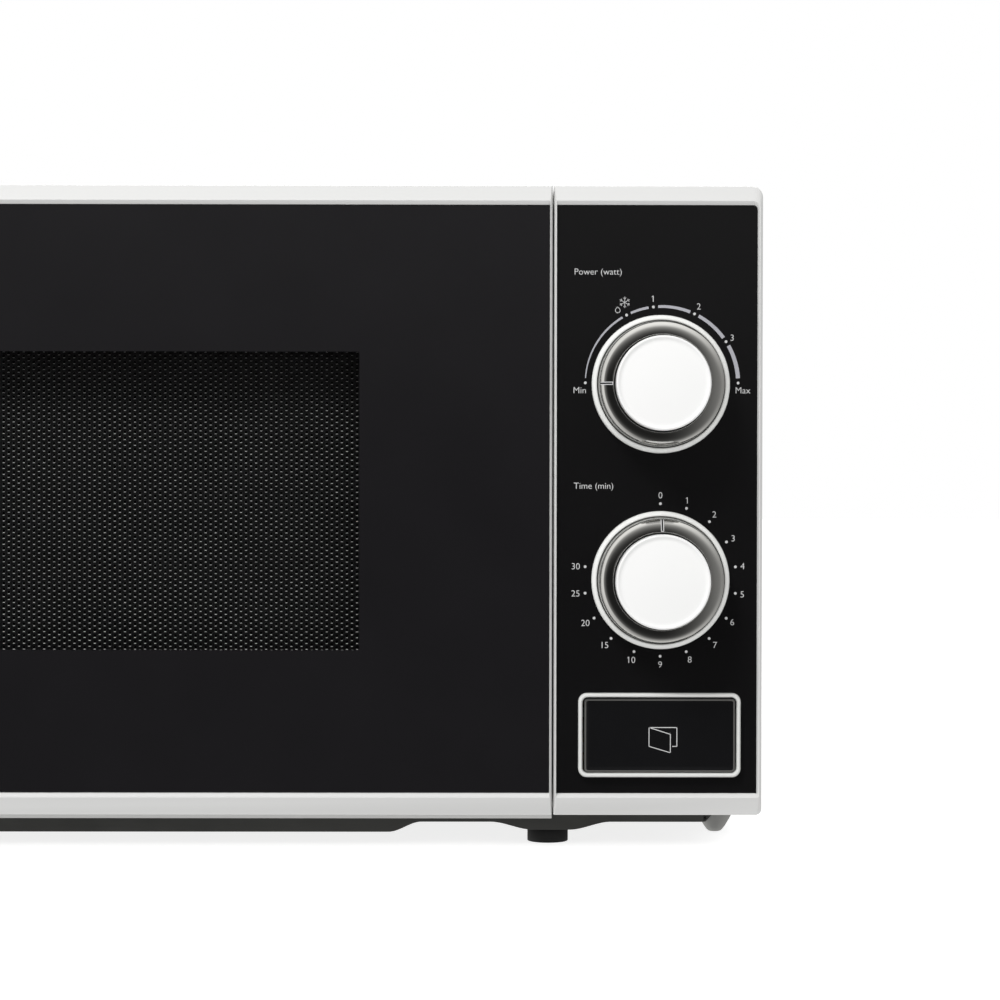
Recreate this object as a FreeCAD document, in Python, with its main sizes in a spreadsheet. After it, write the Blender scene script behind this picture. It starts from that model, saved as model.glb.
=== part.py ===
import FreeCAD, Part
import math
import os
import Sketcher

# A 20-litre-class free-standing microwave oven with two mechanical dials.
# Frame: +Z up, front towards -Y, X to the right as seen from the front.
# Origin: on the ground plane under the middle of the whole object. All sizes in millimetres.

os.makedirs("parts", exist_ok=True)
doc = FreeCAD.newDocument("microwave_oven")
sheet = doc.addObject("Spreadsheet::Sheet", "dims")
V = FreeCAD.Vector
ROW = [0]


class Dim:
    """A size held in the sheet, or an expression made of such sizes."""

    def __init__(self, value, text):
        self.v = float(value)
        self.e = text

    def _of(o):
        return o if isinstance(o, Dim) else Dim(o, "(%s)" % repr(float(o)))

    def __add__(self, o):
        o = Dim._of(o)
        return Dim(self.v + o.v, "(%s + %s)" % (self.e, o.e))

    def __radd__(self, o):
        return Dim._of(o) + self

    def __sub__(self, o):
        o = Dim._of(o)
        return Dim(self.v - o.v, "(%s - %s)" % (self.e, o.e))

    def __rsub__(self, o):
        return Dim._of(o) - self

    def __mul__(self, o):
        o = Dim._of(o)
        return Dim(self.v * o.v, "(%s * %s)" % (self.e, o.e))

    __rmul__ = __mul__

    def __truediv__(self, o):
        o = Dim._of(o)
        return Dim(self.v / o.v, "(%s / %s)" % (self.e, o.e))

    def __neg__(self):
        return Dim(-self.v, "(0 - %s)" % self.e)


def size(alias, value, note):
    """One driving dimension: a row of the sheet with a note, a plain number and an alias."""
    ROW[0] += 1
    sheet.set("A%d" % ROW[0], note)
    sheet.set("B%d" % ROW[0], str(value))
    sheet.setAlias("B%d" % ROW[0], alias)
    return Dim(value, "dims." + alias)


def num(x):
    return x.v if isinstance(x, Dim) else float(x)


def bind(obj, prop, x):
    """Sets a property, and ties it to the sheet where the size comes from there."""
    if isinstance(x, Dim):
        obj.setExpression(prop, x.e)


# ---- driving dimensions ------------------------------------------------------
half_w = size("half_width", 226, "half of the overall width")
top_z = size("top_height", 262, "top of the front frames above the ground")
frame_z0 = size("frame_bottom", 17, "underside of the front frames")
frame_y = size("frame_front", -162.3, "ridge of the front frames")
face_y = size("face_front", -161, "front of the black glass and fascia")
door_x1 = size("door_right", 144.4, "right edge of the door")
panel_x0 = size("panel_left", 145.7, "left edge of the control panel")
door_back = size("door_back", -131, "back of the door's outer frame")
rail_h = size("rail_height", 7.8, "height of the top and bottom rails")
rail_w = size("rail_width", 2.2, "width of the side rails")
cab_front = size("cabinet_front", -128.2, "front of the cavity front plate")
cab_back = size("cabinet_back", 175.4, "outside of the rear panel")
back_y = size("spacer_back", 182, "back of the wall spacers")
cab_half = size("cabinet_half", 225.2, "half width of the sheet cabinet")
cab_top = size("cabinet_top", 261.2, "top of the sheet cabinet")
cab_bot = size("cabinet_bottom", 12, "lower edge of the cabinet sides")
sheet_t = size("sheet_thickness", 0.7, "steel sheet thickness")
cav_x0 = size("cavity_left", -194, "inner left face of the cavity")
cav_x1 = size("cavity_right", 112, "inner right face of the cavity")
cav_z0 = size("cavity_floor_top", 35.5, "top of the cavity floor")
cav_z1 = size("cavity_ceiling_under", 243.5, "underside of the cavity ceiling")
cav_y1 = size("cavity_depth_end", 172, "inner rear face of the cavity")
plate_t = size("plate_thickness", 0.8, "pressed plate thickness")
tray_x = size("tray_centre_x", -41, "turntable axis, X")
tray_y = size("tray_centre_y", 22, "turntable axis, Y")
tray_r = size("tray_radius", 122.5, "glass turntable radius")
knob_x = size("knob_axis_x", 186.1, "dial axes, X")
power_z = size("power_axis_z", 184.5, "power dial axis, Z")
timer_z = size("timer_axis_z", 108.1, "timer dial axis, Z")
ring_r = size("ring_radius", 27, "outer radius of a dial's trim ring")
dome_r = size("dome_radius", 24.6, "radius of a knob's dome at its foot")
cap_r = size("cap_radius", 18.6, "radius of a knob's cap")
cap_y = size("cap_front", -182, "front of the knob caps")
shaft_r = size("shaft_radius", 3, "radius of the dial shafts")
btn_x = size("button_x", 186, "centre of the door button, X")
btn_z = size("button_z", 47.6, "centre of the door button, Z")
btn_w = size("button_width", 57.4, "width of the door button")
btn_h = size("button_height", 26.5, "height of the door button")
hinge_x = size("hinge_x", -217, "door hinge axis, X")
hinge_y = size("hinge_y", -141, "door hinge axis, Y")
pin_r = size("hinge_pin_radius", 3, "radius of the hinge pins")
run_fit = size("running_clearance", 0.05, "radial clearance of a running fit")
win_x0 = size("window_left", -150, "left edge of the see-through window")
win_x1 = size("window_right", 68.6, "right edge of the see-through window")
win_z0 = size("window_bottom", 80.5, "lower edge of the see-through window")
win_z1 = size("window_top", 197, "upper edge of the see-through window")
screen_y = size("screen_front", -147.8, "front of the perforated screen")
ring_track = size("roller_track", 95, "radius of the rollers' track")
roller_r = size("roller_radius", 7, "radius of a roller")
fan_x = size("fan_x", 168.5, "fan axis, X")
fan_z = size("fan_z", 190, "fan axis, Z")
lever_y = size("lever_pivot_y", -120, "release lever pivot, Y")
lever_z = size("lever_pivot_z", 74, "release lever pivot, Z")
hook_x = size("hook_x", 133.5, "middle plane of the latch hooks")
doc.recompute()

NODES = {}


def node(label, obj):
    obj.Label = label
    NODES[label] = obj
    return obj


# ---- Part primitives, bound to the sheet ------------------------------------
COUNT = [0]


def fresh(base):
    COUNT[0] += 1
    return "%s_%d" % (base, COUNT[0])


def box(x0, x1, y0, y1, z0, z1):
    o = doc.addObject("Part::Box", fresh("Block"))
    o.Length, o.Width, o.Height = num(x1) - num(x0), num(y1) - num(y0), num(z1) - num(z0)
    o.Placement = FreeCAD.Placement(V(num(x0), num(y0), num(z0)), FreeCAD.Rotation())
    for prop, x in (("Length", Dim._of(x1) - x0), ("Width", Dim._of(y1) - y0), ("Height", Dim._of(z1) - z0)):
        if "dims" in x.e:
            o.setExpression(prop, x.e)
    for prop, x in (("Placement.Base.x", x0), ("Placement.Base.y", y0), ("Placement.Base.z", z0)):
        bind(o, prop, x)
    return o


ROT = {
    "z": FreeCAD.Rotation(),
    "y": FreeCAD.Rotation(V(1, 0, 0), -90),
    "x": FreeCAD.Rotation(V(0, 1, 0), 90),
}


def cyl(axis, x, y, z, r, length):
    """A cylinder that starts at x, y, z and runs along the axis in its positive direction."""
    o = doc.addObject("Part::Cylinder", fresh("Round"))
    o.Radius, o.Height = num(r), num(length)
    o.Placement = FreeCAD.Placement(V(num(x), num(y), num(z)), ROT[axis])
    bind(o, "Radius", r)
    bind(o, "Height", length)
    for prop, q in (("Placement.Base.x", x), ("Placement.Base.y", y), ("Placement.Base.z", z)):
        bind(o, prop, q)
    return o


def fuse(*parts):
    o = doc.addObject("Part::MultiFuse", fresh("Union"))
    o.Shapes = list(parts)
    o.Refine = True
    return o


def cut(base, *tools):
    tool = tools[0] if len(tools) == 1 else fuse(*tools)
    o = doc.addObject("Part::Cut", fresh("Difference"))
    o.Base, o.Tool = base, tool
    o.Refine = True
    return o


def group(*parts):
    """Several separate solids that are one node, such as a set of screws."""
    o = doc.addObject("Part::Compound", fresh("Set"))
    o.Links = list(parts)
    return o


# ---- PartDesign bodies -------------------------------------------------------
def new_body(label):
    b = doc.addObject("PartDesign::Body", fresh("Body"))
    return node(label, b)


def plane(body, role):
    for f in body.Origin.OriginFeatures:
        if f.Role == role:
            return f


PLANES = {"z": ("XY_Plane", 1), "y": ("XZ_Plane", -1), "x": ("YZ_Plane", 1)}


def sketch(body, axis, at):
    """A sketch square to the axis, at that coordinate. Its own axes are X,Y or X,Z or Y,Z."""
    s = body.newObject("Sketcher::SketchObject", fresh("Profile"))
    role, sign = PLANES[axis]
    s.AttachmentSupport = [(plane(body, role), "")]
    s.MapMode = "FlatFace"
    s.AttachmentOffset = FreeCAD.Placement(V(0, 0, sign * num(at)), FreeCAD.Rotation())
    if isinstance(at, Dim):
        s.setExpression("AttachmentOffset.Base.z", (at if sign > 0 else -at).e)
    return s


def fix_point(s, g, pos, x, y):
    for kind, q in (("DistanceX", x), ("DistanceY", y)):
        c = s.addConstraint(Sketcher.Constraint(kind, -1, 1, g, pos, num(q)))
        if isinstance(q, Dim):
            s.setExpression("Constraints[%d]" % c, q.e)


def loop(s, pts):
    """A closed outline of straight lines through the points."""
    n0 = s.GeometryCount
    n = len(pts)
    s.addGeometry(
        [
            Part.LineSegment(V(num(pts[i][0]), num(pts[i][1]), 0), V(num(pts[(i + 1) % n][0]), num(pts[(i + 1) % n][1]), 0))
            for i in range(n)
        ],
        False,
    )
    s.addConstraint([Sketcher.Constraint("Coincident", n0 + i, 2, n0 + (i + 1) % n, 1) for i in range(n)])
    for i in range(n):
        fix_point(s, n0 + i, 1, pts[i][0], pts[i][1])


def rect(s, x0, x1, y0, y1):
    loop(s, [(x0, y0), (x1, y0), (x1, y1), (x0, y1)])


def circle(s, x, y, r):
    g = s.addGeometry(Part.Circle(V(num(x), num(y), 0), V(0, 0, 1), num(r)), False)
    fix_point(s, g, 3, x, y)
    c = s.addConstraint(Sketcher.Constraint("Radius", g, num(r)))
    if isinstance(r, Dim):
        s.setExpression("Constraints[%d]" % c, r.e)


def pad(body, axis, lo, hi, draw):
    """Material between two coordinates along the axis."""
    s = sketch(body, axis, hi if axis == "y" else lo)
    draw(s)
    p = body.newObject("PartDesign::Pad", fresh("Pad"))
    p.Profile = s
    length = Dim._of(hi) - lo
    p.Length = length.v
    if "dims" in length.e:
        p.setExpression("Length", length.e)
    doc.recompute()
    return p


def pocket(body, axis, lo, hi, draw):
    """Takes material away between two coordinates along the axis."""
    before = body.Shape.Volume
    s = sketch(body, axis, lo if axis == "y" else hi)
    draw(s)
    p = body.newObject("PartDesign::Pocket", fresh("Pocket"))
    p.Profile = s
    length = Dim._of(hi) - lo
    p.Length = length.v
    if "dims" in length.e:
        p.setExpression("Length", length.e)
    doc.recompute()
    if not body.Shape.Volume < before - 1e-3:
        raise RuntimeError("a pocket of %s cuts nothing" % body.Label)
    return p


def grid(body, feature, sk, du, nu, dv=0, nv=1):
    """Repeats a pocket in a grid along its sketch's own axes."""
    before = body.Shape.Volume
    m = body.newObject("PartDesign::MultiTransform", fresh("Grid"))
    m.Originals = [feature]
    steps = []
    for axis_name, d, n in (("H_Axis", du, nu), ("V_Axis", dv, nv)):
        if n > 1:
            lp = body.newObject("PartDesign::LinearPattern", fresh("Row"))
            lp.Direction = (sk, [axis_name])
            lp.Length = d * (n - 1)
            lp.Occurrences = n
            steps.append(lp)
    m.Transformations = steps
    body.Tip = m
    doc.recompute()
    if not body.Shape.Volume < before - 1e-3:
        raise RuntimeError("a pattern of %s cuts nothing" % body.Label)
    return m


def turned(label, axis_xyz, direction, pts, extra=None):
    """A turned piece: an outline of (radius, position along the axis) revolved about an axis through axis_xyz.
    direction is z or y. Positions are coordinates along that axis."""
    b = new_body(label)
    if direction == "z":
        s = sketch(b, "y", axis_xyz[1])
        loop(s, [(axis_xyz[0] + r, p) for r, p in pts])
        line = (V(num(axis_xyz[0]), -500, 0), V(num(axis_xyz[0]), 500, 0))
        n = s.addGeometry(Part.LineSegment(*line), True)
        s.addConstraint(Sketcher.Constraint("Vertical", n))
        c = s.addConstraint(Sketcher.Constraint("DistanceX", -1, 1, n, 1, num(axis_xyz[0])))
    else:
        s = sketch(b, "x", axis_xyz[0])
        loop(s, [(p, axis_xyz[2] + r) for r, p in pts])
        line = (V(-500, num(axis_xyz[2]), 0), V(500, num(axis_xyz[2]), 0))
        n = s.addGeometry(Part.LineSegment(*line), True)
        s.addConstraint(Sketcher.Constraint("Horizontal", n))
        c = s.addConstraint(Sketcher.Constraint("DistanceY", -1, 1, n, 1, num(axis_xyz[2])))
    q = axis_xyz[0] if direction == "z" else axis_xyz[2]
    if isinstance(q, Dim):
        s.setExpression("Constraints[%d]" % c, q.e)
    r = b.newObject("PartDesign::Revolution", fresh("Turned"))
    r.Profile = s
    r.ReferenceAxis = (s, ["Axis0"])
    r.Angle = 360
    doc.recompute()
    return b


# =============================================================================
# Chassis: sheet metal
# =============================================================================

# Outer cabinet: one folded sheet over the top and both sides, with lower lips and louvres.
cabinet = new_body("outer_cabinet")
lip = 9
pad(
    cabinet, "y", cab_front + plate_t + 0.1, cab_back - 1.6,
    lambda s: loop(s, [
        (-cab_half, cab_bot), (-cab_half, cab_top), (cab_half, cab_top), (cab_half, cab_bot),
        (cab_half - lip, cab_bot), (cab_half - lip, cab_bot + sheet_t), (cab_half - sheet_t, cab_bot + sheet_t),
        (cab_half - sheet_t, cab_top - sheet_t), (-cab_half + sheet_t, cab_top - sheet_t),
        (-cab_half + sheet_t, cab_bot + sheet_t), (-cab_half + lip, cab_bot + sheet_t), (-cab_half + lip, cab_bot),
    ]),
)
for side in (1, -1):
    lo, hi = (cab_half - 3, cab_half + 1) if side > 0 else (-cab_half - 1, -cab_half + 3)
    first = pocket(cabinet, "x", lo, hi, lambda s: rect(s, 60, 86, 60, 63))
    grid(cabinet, first, first.Profile[0], 36, 3, 9, 14)

# Base plate: a pan pressed down under the cavity, flat under the electronics.
base = new_body("base_plate")
pad(
    base, "y", cab_front + 2.2, cab_back - 1.6,
    lambda s: loop(s, [
        (-223.5, 9), (-206, 9), (-201, 5.6), (82, 5.6), (90.5, 9), (117.5, 9), (121.5, 6.5), (163, 6.5), (167, 9), (223.5, 9),
        (223.5, 8.2), (167.5, 8.2), (163.5, 5.7), (121, 5.7), (117, 8.2), (91, 8.2), (82.5, 4.8), (-201.5, 4.8), (-206.5, 8.2), (-223.5, 8.2),
    ]),
)
# a pressed stop near the right front corner
pad(base, "z", 4.6, 8.6, lambda s: rect(s, 205, 219, -122, -108))
first = pocket(base, "z", 3, 10, lambda s: rect(s, 140, 146, 60, 100))
grid(base, first, first.Profile[0], 12, 6)
pocket(base, "z", 3, 10, lambda s: [circle(s, x, y, 2.6) for x, y in ((143.3, -115), (143.3, 150), (-150, -115), (-150, 150))])

# Rear panel with vents, a cord inlet hole and two pressed wall spacers.
rear = new_body("rear_panel")
pad(rear, "y", cab_back - 0.8, cab_back, lambda s: rect(s, -cab_half, cab_half, cab_bot - 2.5, cab_top))
for sx in (-150, 110):
    pad(rear, "y", cab_back, back_y, lambda s: rect(s, sx, sx + 40, 150, 164))
first = pocket(rear, "y", cab_back - 3, cab_back + 1, lambda s: rect(s, 130, 152, 150, 153.4))
grid(rear, first, first.Profile[0], 27, 3, 8, 11)
first = pocket(rear, "y", cab_back - 3, cab_back + 1, lambda s: rect(s, -200, -178, 200, 203.4))
grid(rear, first, first.Profile[0], 27, 3, 8, 5)
pocket(rear, "y", cab_back - 3, cab_back + 1, lambda s: circle(s, 190, 60, 8))

# Cavity front plate: the welded face round the oven opening, with a lower flange and two latch slots.
front = new_body("cavity_front_plate")
pad(front, "y", cab_front, cab_front + plate_t, lambda s: rect(s, -cab_half + 1, 144.6, 10.6, cab_top - 0.9))
pad(front, "z", 10.6, 11.4, lambda s: rect(s, -cab_half + 1, 137.5, cab_front, cab_front + 14))
pocket(front, "y", cab_front - 1, cab_front + 2, lambda s: rect(s, cav_x0, cav_x1, cav_z0, cav_z1))
pocket(front, "y", cab_front - 1, cab_front + 2, lambda s: rect(s, hook_x - 4.2, hook_x + 6.5, 176, 198))
pocket(front, "y", cab_front - 1, cab_front + 2, lambda s: rect(s, hook_x - 4.2, hook_x + 6.5, 82, 105))

# Cavity wrap: left wall, ceiling and right wall folded from one sheet, enamelled inside.
wrap = new_body("cavity_wrap")
cav_y0 = cab_front + plate_t
pad(
    wrap, "y", cav_y0, cav_y1,
    lambda s: loop(s, [
        (cav_x0 - sheet_t, cav_z0), (cav_x0 - sheet_t, cav_z1 + sheet_t), (cav_x1 + sheet_t, cav_z1 + sheet_t),
        (cav_x1 + sheet_t, cav_z0), (cav_x1, cav_z0), (cav_x1, cav_z1), (cav_x0, cav_z1), (cav_x0, cav_z0),
    ]),
)
# waveguide aperture in the right wall
pocket(wrap, "x", cav_x1 - 3, cav_x1 + 3, lambda s: rect(s, -15, 45, 170, 220))
# air inlet and lamp perforations in the right wall, steam outlet in the left wall
first = pocket(wrap, "x", cav_x1 - 3, cav_x1 + 3, lambda s: circle(s, 70, 196, 1.8))
grid(wrap, first, first.Profile[0], 7, 6, 7, 5)
first = pocket(wrap, "x", cav_x1 - 3, cav_x1 + 3, lambda s: circle(s, -75, 196, 1.8))
grid(wrap, first, first.Profile[0], 7, 4, 7, 4)
first = pocket(wrap, "x", cav_x0 - 3, cav_x0 + 3, lambda s: circle(s, 100, 200, 1.8))
grid(wrap, first, first.Profile[0], 7, 6, 7, 4)

cavity_floor = new_body("cavity_floor")
pad(cavity_floor, "z", cav_z0 - sheet_t, cav_z0, lambda s: rect(s, cav_x0 - sheet_t, cav_x1 + sheet_t, cav_y0, cav_y1))
pocket(cavity_floor, "z", cav_z0 - 2, cav_z0 + 1, lambda s: circle(s, tray_x, tray_y, 9))

cavity_rear = new_body("cavity_rear_wall")
pad(cavity_rear, "y", cav_y1, cav_y1 + sheet_t, lambda s: rect(s, cav_x0 - sheet_t, cav_x1 + sheet_t, cav_z0 - sheet_t, cav_z1 + sheet_t))

# Rubber feet, one near each corner.
def foot(x, y, height):
    return fuse(cyl("z", x, y, 0, 8.5, height), cyl("z", x, y, height, 2.5, 4.5))


node("feet", group(foot(143.3, -115, 5.7), foot(143.3, 150, 5.7), foot(-150, -115, 4.8), foot(-150, 150, 4.8)))

# Case screws: rear edge of the cabinet, into the rear panel, and the base.
node("case_screws", group(*[cyl("y", x, cab_back + 0.05, z, 3.6, 2.1) for x, z in (
    (-217, 250), (-217, 130), (-217, 24), (217, 250), (217, 130), (217, 24), (-80, 254), (60, 254))]))

# Grommet in the rear panel, where a supply lead would enter.
gland_o = fuse(cyl("y", 190, cab_back, 60, 11, 4), cyl("y", 190, cab_back - 3.5, 60, 7.9, 3.5))
node("cable_gland", cut(gland_o, cyl("y", 190, cab_back - 6, 60, 3.6, 14)))

# =============================================================================
# Microwave source, power supply and cooling in the right-hand compartment
# =============================================================================
guide = new_body("waveguide")
pad(guide, "x", cav_x1 + sheet_t, 141.7, lambda s: rect(s, -30, 105, 158, 232))
pocket(guide, "x", cav_x1 + sheet_t - 1, 140.9, lambda s: rect(s, -29.2, 104.2, 158.8, 231.2))
pocket(guide, "x", 139, 143, lambda s: circle(s, 65, 195, 12))

mica = new_body("waveguide_cover")
pad(mica, "x", cav_x1 - 1.1, cav_x1 - 0.5, lambda s: loop(s, [(-24, 166), (54, 166), (54, 224), (48, 230), (-18, 230), (-24, 224)]))

# Magnetron: steel yoke with its filter box, and the anode with cooling fins and antenna.
yoke_ring = cut(box(142, 184, 35, 95, 159, 231), box(143.5, 182.5, 34, 96, 160.5, 229.5))
yoke_box = cut(box(184, 216, 42, 88, 168, 222), box(185, 215, 43, 87, 169, 221))
node("magnetron_yoke", cut(fuse(yoke_ring, yoke_box), cyl("x", 140, 65, 195, 10.5, 6), cyl("x", 181, 65, 195, 10.5, 6)))
fins = [box(149 + 5 * i, 149.7 + 5 * i, 37, 93, 162, 228) for i in range(6)]
node("magnetron_anode", fuse(cyl("x", 144, 65, 195, 18, 38), cyl("x", 121, 65, 195, 8, 24), *fins))

core = cut(box(128, 208, -60, -10, 9.2, 75), box(141, 154, -62, -8, 20, 64), box(182, 195, -62, -8, 20, 64))
node("transformer_core", fuse(core, box(119, 217, -55, -15, 9.05, 10.6)))


def coil(z0, z1):
    return cut(box(141.6, 194.4, -73, 3, z0, z1), box(153.5, 182.5, -60.4, -9.6, z0 - 1, z1 + 1))


node("transformer_windings", group(coil(21, 40), coil(44, 63)))

cap_can = fuse(box(140, 176, 20, 100, 12, 42), cyl("y", 140, 20, 27, 15, 80), cyl("y", 176, 20, 27, 15, 80))
node("hv_capacitor", fuse(cap_can, box(146, 149, 14, 20, 22, 32), box(167, 170, 14, 20, 22, 32)))
clamp = cut(box(122, 194, 50, 66, 9.05, 44.5), box(124.5, 191.5, 49, 67, 10.6, 43))
node("capacitor_clamp", cut(clamp, box(121, 140, 49, 67, 30, 50)))
node("hv_diode", fuse(box(200, 206, 20, 42, 12, 18), cyl("y", 203, 42, 15, 1, 14), cyl("y", 203, 8, 15, 1, 12)))

# Fan: moulded housing with a shroud, shaded-pole motor, five-bladed fan.
shroud = cut(fuse(box(114, 224, 119, 121, 131, 249), cyl("y", fan_x, 121, fan_z, 53, 29)), cyl("y", fan_x, 117, fan_z, 51, 34))
arms = cut(
    fuse(box(fan_x - 52, fan_x + 52, 148, 150, fan_z - 4, fan_z + 4), box(fan_x - 4, fan_x + 4, 148, 150, fan_z - 52, fan_z + 52), cyl("y", fan_x, 148, fan_z, 16, 2)),
    cyl("y", fan_x, 146, fan_z, 6, 6),
)
node("fan_housing", fuse(shroud, arms))
motor_stack = fuse(box(fan_x - 25, fan_x + 25, 152, 166, fan_z - 22, fan_z + 22), cyl("y", fan_x, 150, fan_z, 14, 20), box(fan_x - 18, fan_x + 18, 150.5, 167.5, fan_z - 36, fan_z - 22))
node("fan_motor", cut(motor_stack, cyl("y", fan_x, 149, fan_z, 2.55, 16)))
blades = []
for i in range(5):
    b = box(-9, 9, -1, 1, 11, 47)
    b.Placement = FreeCAD.Placement(
        V(fan_x.v, 134, fan_z.v),
        FreeCAD.Rotation(V(0, 1, 0), 72 * i).multiply(FreeCAD.Rotation(V(0, 0, 1), 32)),
        V(0, 0, 0),
    ).multiply(FreeCAD.Placement(V(-9, -1, 11), FreeCAD.Rotation()))
    b.setExpression("Placement.Base.x", None)
    blades.append(b)
node("fan_blade", fuse(cyl("y", fan_x, 126, fan_z, 13, 17), cyl("y", fan_x, 143, fan_z, 2.5, 16), *blades))

lamp_bulb = fuse(cyl("x", 118.5, -64, 206, 8, 14), cyl("x", 132.5, -64, 206, 5, 5))
lamp_holder = cut(fuse(box(137.6, 146, -72, -56, 198, 214), box(113, 137.6, -72.5, -72, 198, 214), box(137.6, 140, -72.5, -70, 198, 214)), cyl("x", 136, -64, 206, 5.2, 5))
node("cavity_lamp", group(lamp_bulb, lamp_holder))

node("thermal_cutouts", group(
    fuse(cyl("z", -120, 120, 244.3, 8, 6), box(-132, -108, 116, 124, 244.3, 245.1)),
    fuse(cyl("z", 60, 120, 244.3, 8, 6), box(48, 72, 116, 124, 244.3, 245.1)),
))
node("noise_filter_board", fuse(
    box(122, 214, 108, 168, 84, 85.6), cyl("z", 140, 125, 85.6, 12, 20), box(160, 186, 116, 134, 85.6, 103),
    cyl("x", 162, 152, 90, 3, 22), box(196, 208, 116, 150, 85.6, 97),
    box(120, 124, 108, 168, 84, 96),
))

# =============================================================================
# Control panel
# =============================================================================
panel = new_body("control_panel_frame")
pad(panel, "y", frame_y, cab_front, lambda s: rect(s, panel_x0, half_w, frame_z0, top_z))
pocket(panel, "y", frame_y - 1, face_y + 1.2, lambda s: rect(s, panel_x0 + 1, half_w - rail_w, frame_z0 + rail_h, top_z - rail_h))
pocket(panel, "y", face_y + 3.4, cab_front + 1, lambda s: rect(s, panel_x0 + 2, half_w - 2.2, frame_z0 + 2.2, top_z - 2.2))
pocket(panel, "y", face_y, face_y + 5, lambda s: circle(s, knob_x, power_z, 9))
pocket(panel, "y", face_y, face_y + 5, lambda s: circle(s, knob_x, timer_z, 9))
pocket(panel, "y", face_y, face_y + 5, lambda s: rect(s, btn_x - btn_w / 2 - 0.4, btn_x + btn_w / 2 + 0.4, btn_z - btn_h / 2 - 0.4, btn_z + btn_h / 2 + 0.4))
# bridge behind the door button, with a hole for the button's stem
pad(panel, "y", -141, -139, lambda s: rect(s, panel_x0 + 1.5, half_w - 2, 38, 57))
pocket(panel, "y", -142, -138, lambda s: rect(s, 163.4, 172.6, 42.4, 51.6))

fascia = new_body("control_fascia")
pad(fascia, "y", face_y, face_y + 1.2, lambda s: rect(s, panel_x0 + 1, half_w - rail_w, frame_z0 + rail_h, top_z - rail_h))
pocket(fascia, "y", face_y - 1, face_y + 2, lambda s: circle(s, knob_x, power_z, 9))
pocket(fascia, "y", face_y - 1, face_y + 2, lambda s: circle(s, knob_x, timer_z, 9))
pocket(fascia, "y", face_y - 1, face_y + 2, lambda s: rect(s, btn_x - btn_w / 2 - 0.4, btn_x + btn_w / 2 + 0.4, btn_z - btn_h / 2 - 0.4, btn_z + btn_h / 2 + 0.4))


def dial(name, z):
    """The fixed trim ring of one dial, and the turning knob: chromed dome, pale cap and shaft."""
    turned(name + "_dial_ring", (knob_x, 0, z), "y", [
        (ring_r, face_y), (ring_r, face_y - 2.6), (ring_r - 0.6, face_y - 3.4), (ring_r - 1.4, face_y - 3.4), (ring_r - 1.9, face_y - 2.8), (ring_r - 1.9, face_y)])
    turned(name + "_knob_dome", (knob_x, 0, z), "y", [
        (shaft_r, face_y - 12.5), (shaft_r, face_y - 0.8), (7, face_y - 0.8), (7, face_y - 10), (dome_r - 3, face_y - 7), (dome_r - 1.6, face_y - 0.8),
        (dome_r, face_y - 0.8), (dome_r, face_y - 4), (dome_r - 0.35, face_y - 6.6), (dome_r - 1.1, face_y - 9.2), (dome_r - 2.3, face_y - 11.6), (dome_r - 3.8, face_y - 13.6),
        (dome_r - 5.3, face_y - 14.8), (dome_r - 5.7, face_y - 14.2), (dome_r - 5.7, face_y - 12.5)])
    turned(name + "_knob_cap", (knob_x, 0, z), "y", [
        (0, face_y - 13.0), (shaft_r + 3, face_y - 13.0), (shaft_r + 3, face_y - 12.6), (cap_r, face_y - 12.6), (cap_r, cap_y + 2.4), (cap_r - 0.6, cap_y + 0.9), (cap_r - 2, cap_y), (cap_r - 4, cap_y + 0.1),
        (cap_r - 9, cap_y + 0.6), (0, cap_y + 0.8)])
    turned(name + "_shaft", (knob_x, 0, z), "y", [
        (0, face_y - 12.9), (shaft_r - 0.02, face_y - 12.9), (shaft_r - 0.02, -126), (0, -126)])


dial("power", power_z)
dial("timer", timer_z)
node("dial_trim_rings", group(NODES.pop("power_dial_ring"), NODES.pop("timer_dial_ring")))

# Clockwork timer with its bell, and the power selector: each has a bushing for its shaft.
node("timer_body", group(
    cut(fuse(box(160, 212, -150, -118, 84, 132), cyl("y", knob_x, -157.4, timer_z, 7, 8)), cyl("y", knob_x, -160, timer_z, shaft_r + run_fit, 36)),
    cut(cyl("y", knob_x, -117.8, timer_z, 22, 9), cyl("y", knob_x, -119, timer_z, 21, 9.2))))
node("power_selector", cut(
    fuse(box(164, 208, -150, -122, 166, 203), cyl("y", knob_x, -157.4, power_z, 7, 8), box(170, 174, -122, -114, 176, 193), box(198, 202, -122, -114, 176, 193)),
    cyl("y", knob_x, -160, power_z, shaft_r + run_fit, 36)))

# Door button with its bezel and return spring.
node("button_bezel", cut(
    box(btn_x - 31.85, btn_x + 31.85, face_y - 2.6, face_y, btn_z - 16.8, btn_z + 16.8),
    box(btn_x - 29, btn_x + 29, face_y - 4, face_y + 1, btn_z - 13.55, btn_z + 13.55)))
shell = cut(
    box(btn_x - btn_w / 2, btn_x + btn_w / 2, face_y - 1.8, face_y + 8, btn_z - btn_h / 2, btn_z + btn_h / 2),
    box(btn_x - btn_w / 2 + 2, btn_x + btn_w / 2 - 2, face_y + 0.6, face_y + 9, btn_z - btn_h / 2 + 2, btn_z + btn_h / 2 - 2))
node("door_button", fuse(shell, box(165, 171, face_y + 0.5, -138.9, 43, 48.5), cyl("y", 200, face_y + 0.5, 47.6, 3, 8)))
node("button_spring", cut(cyl("y", 200, -152.4, 47.6, 5, 11.3), cyl("y", 200, -153, 47.6, 4, 13)))

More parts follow.
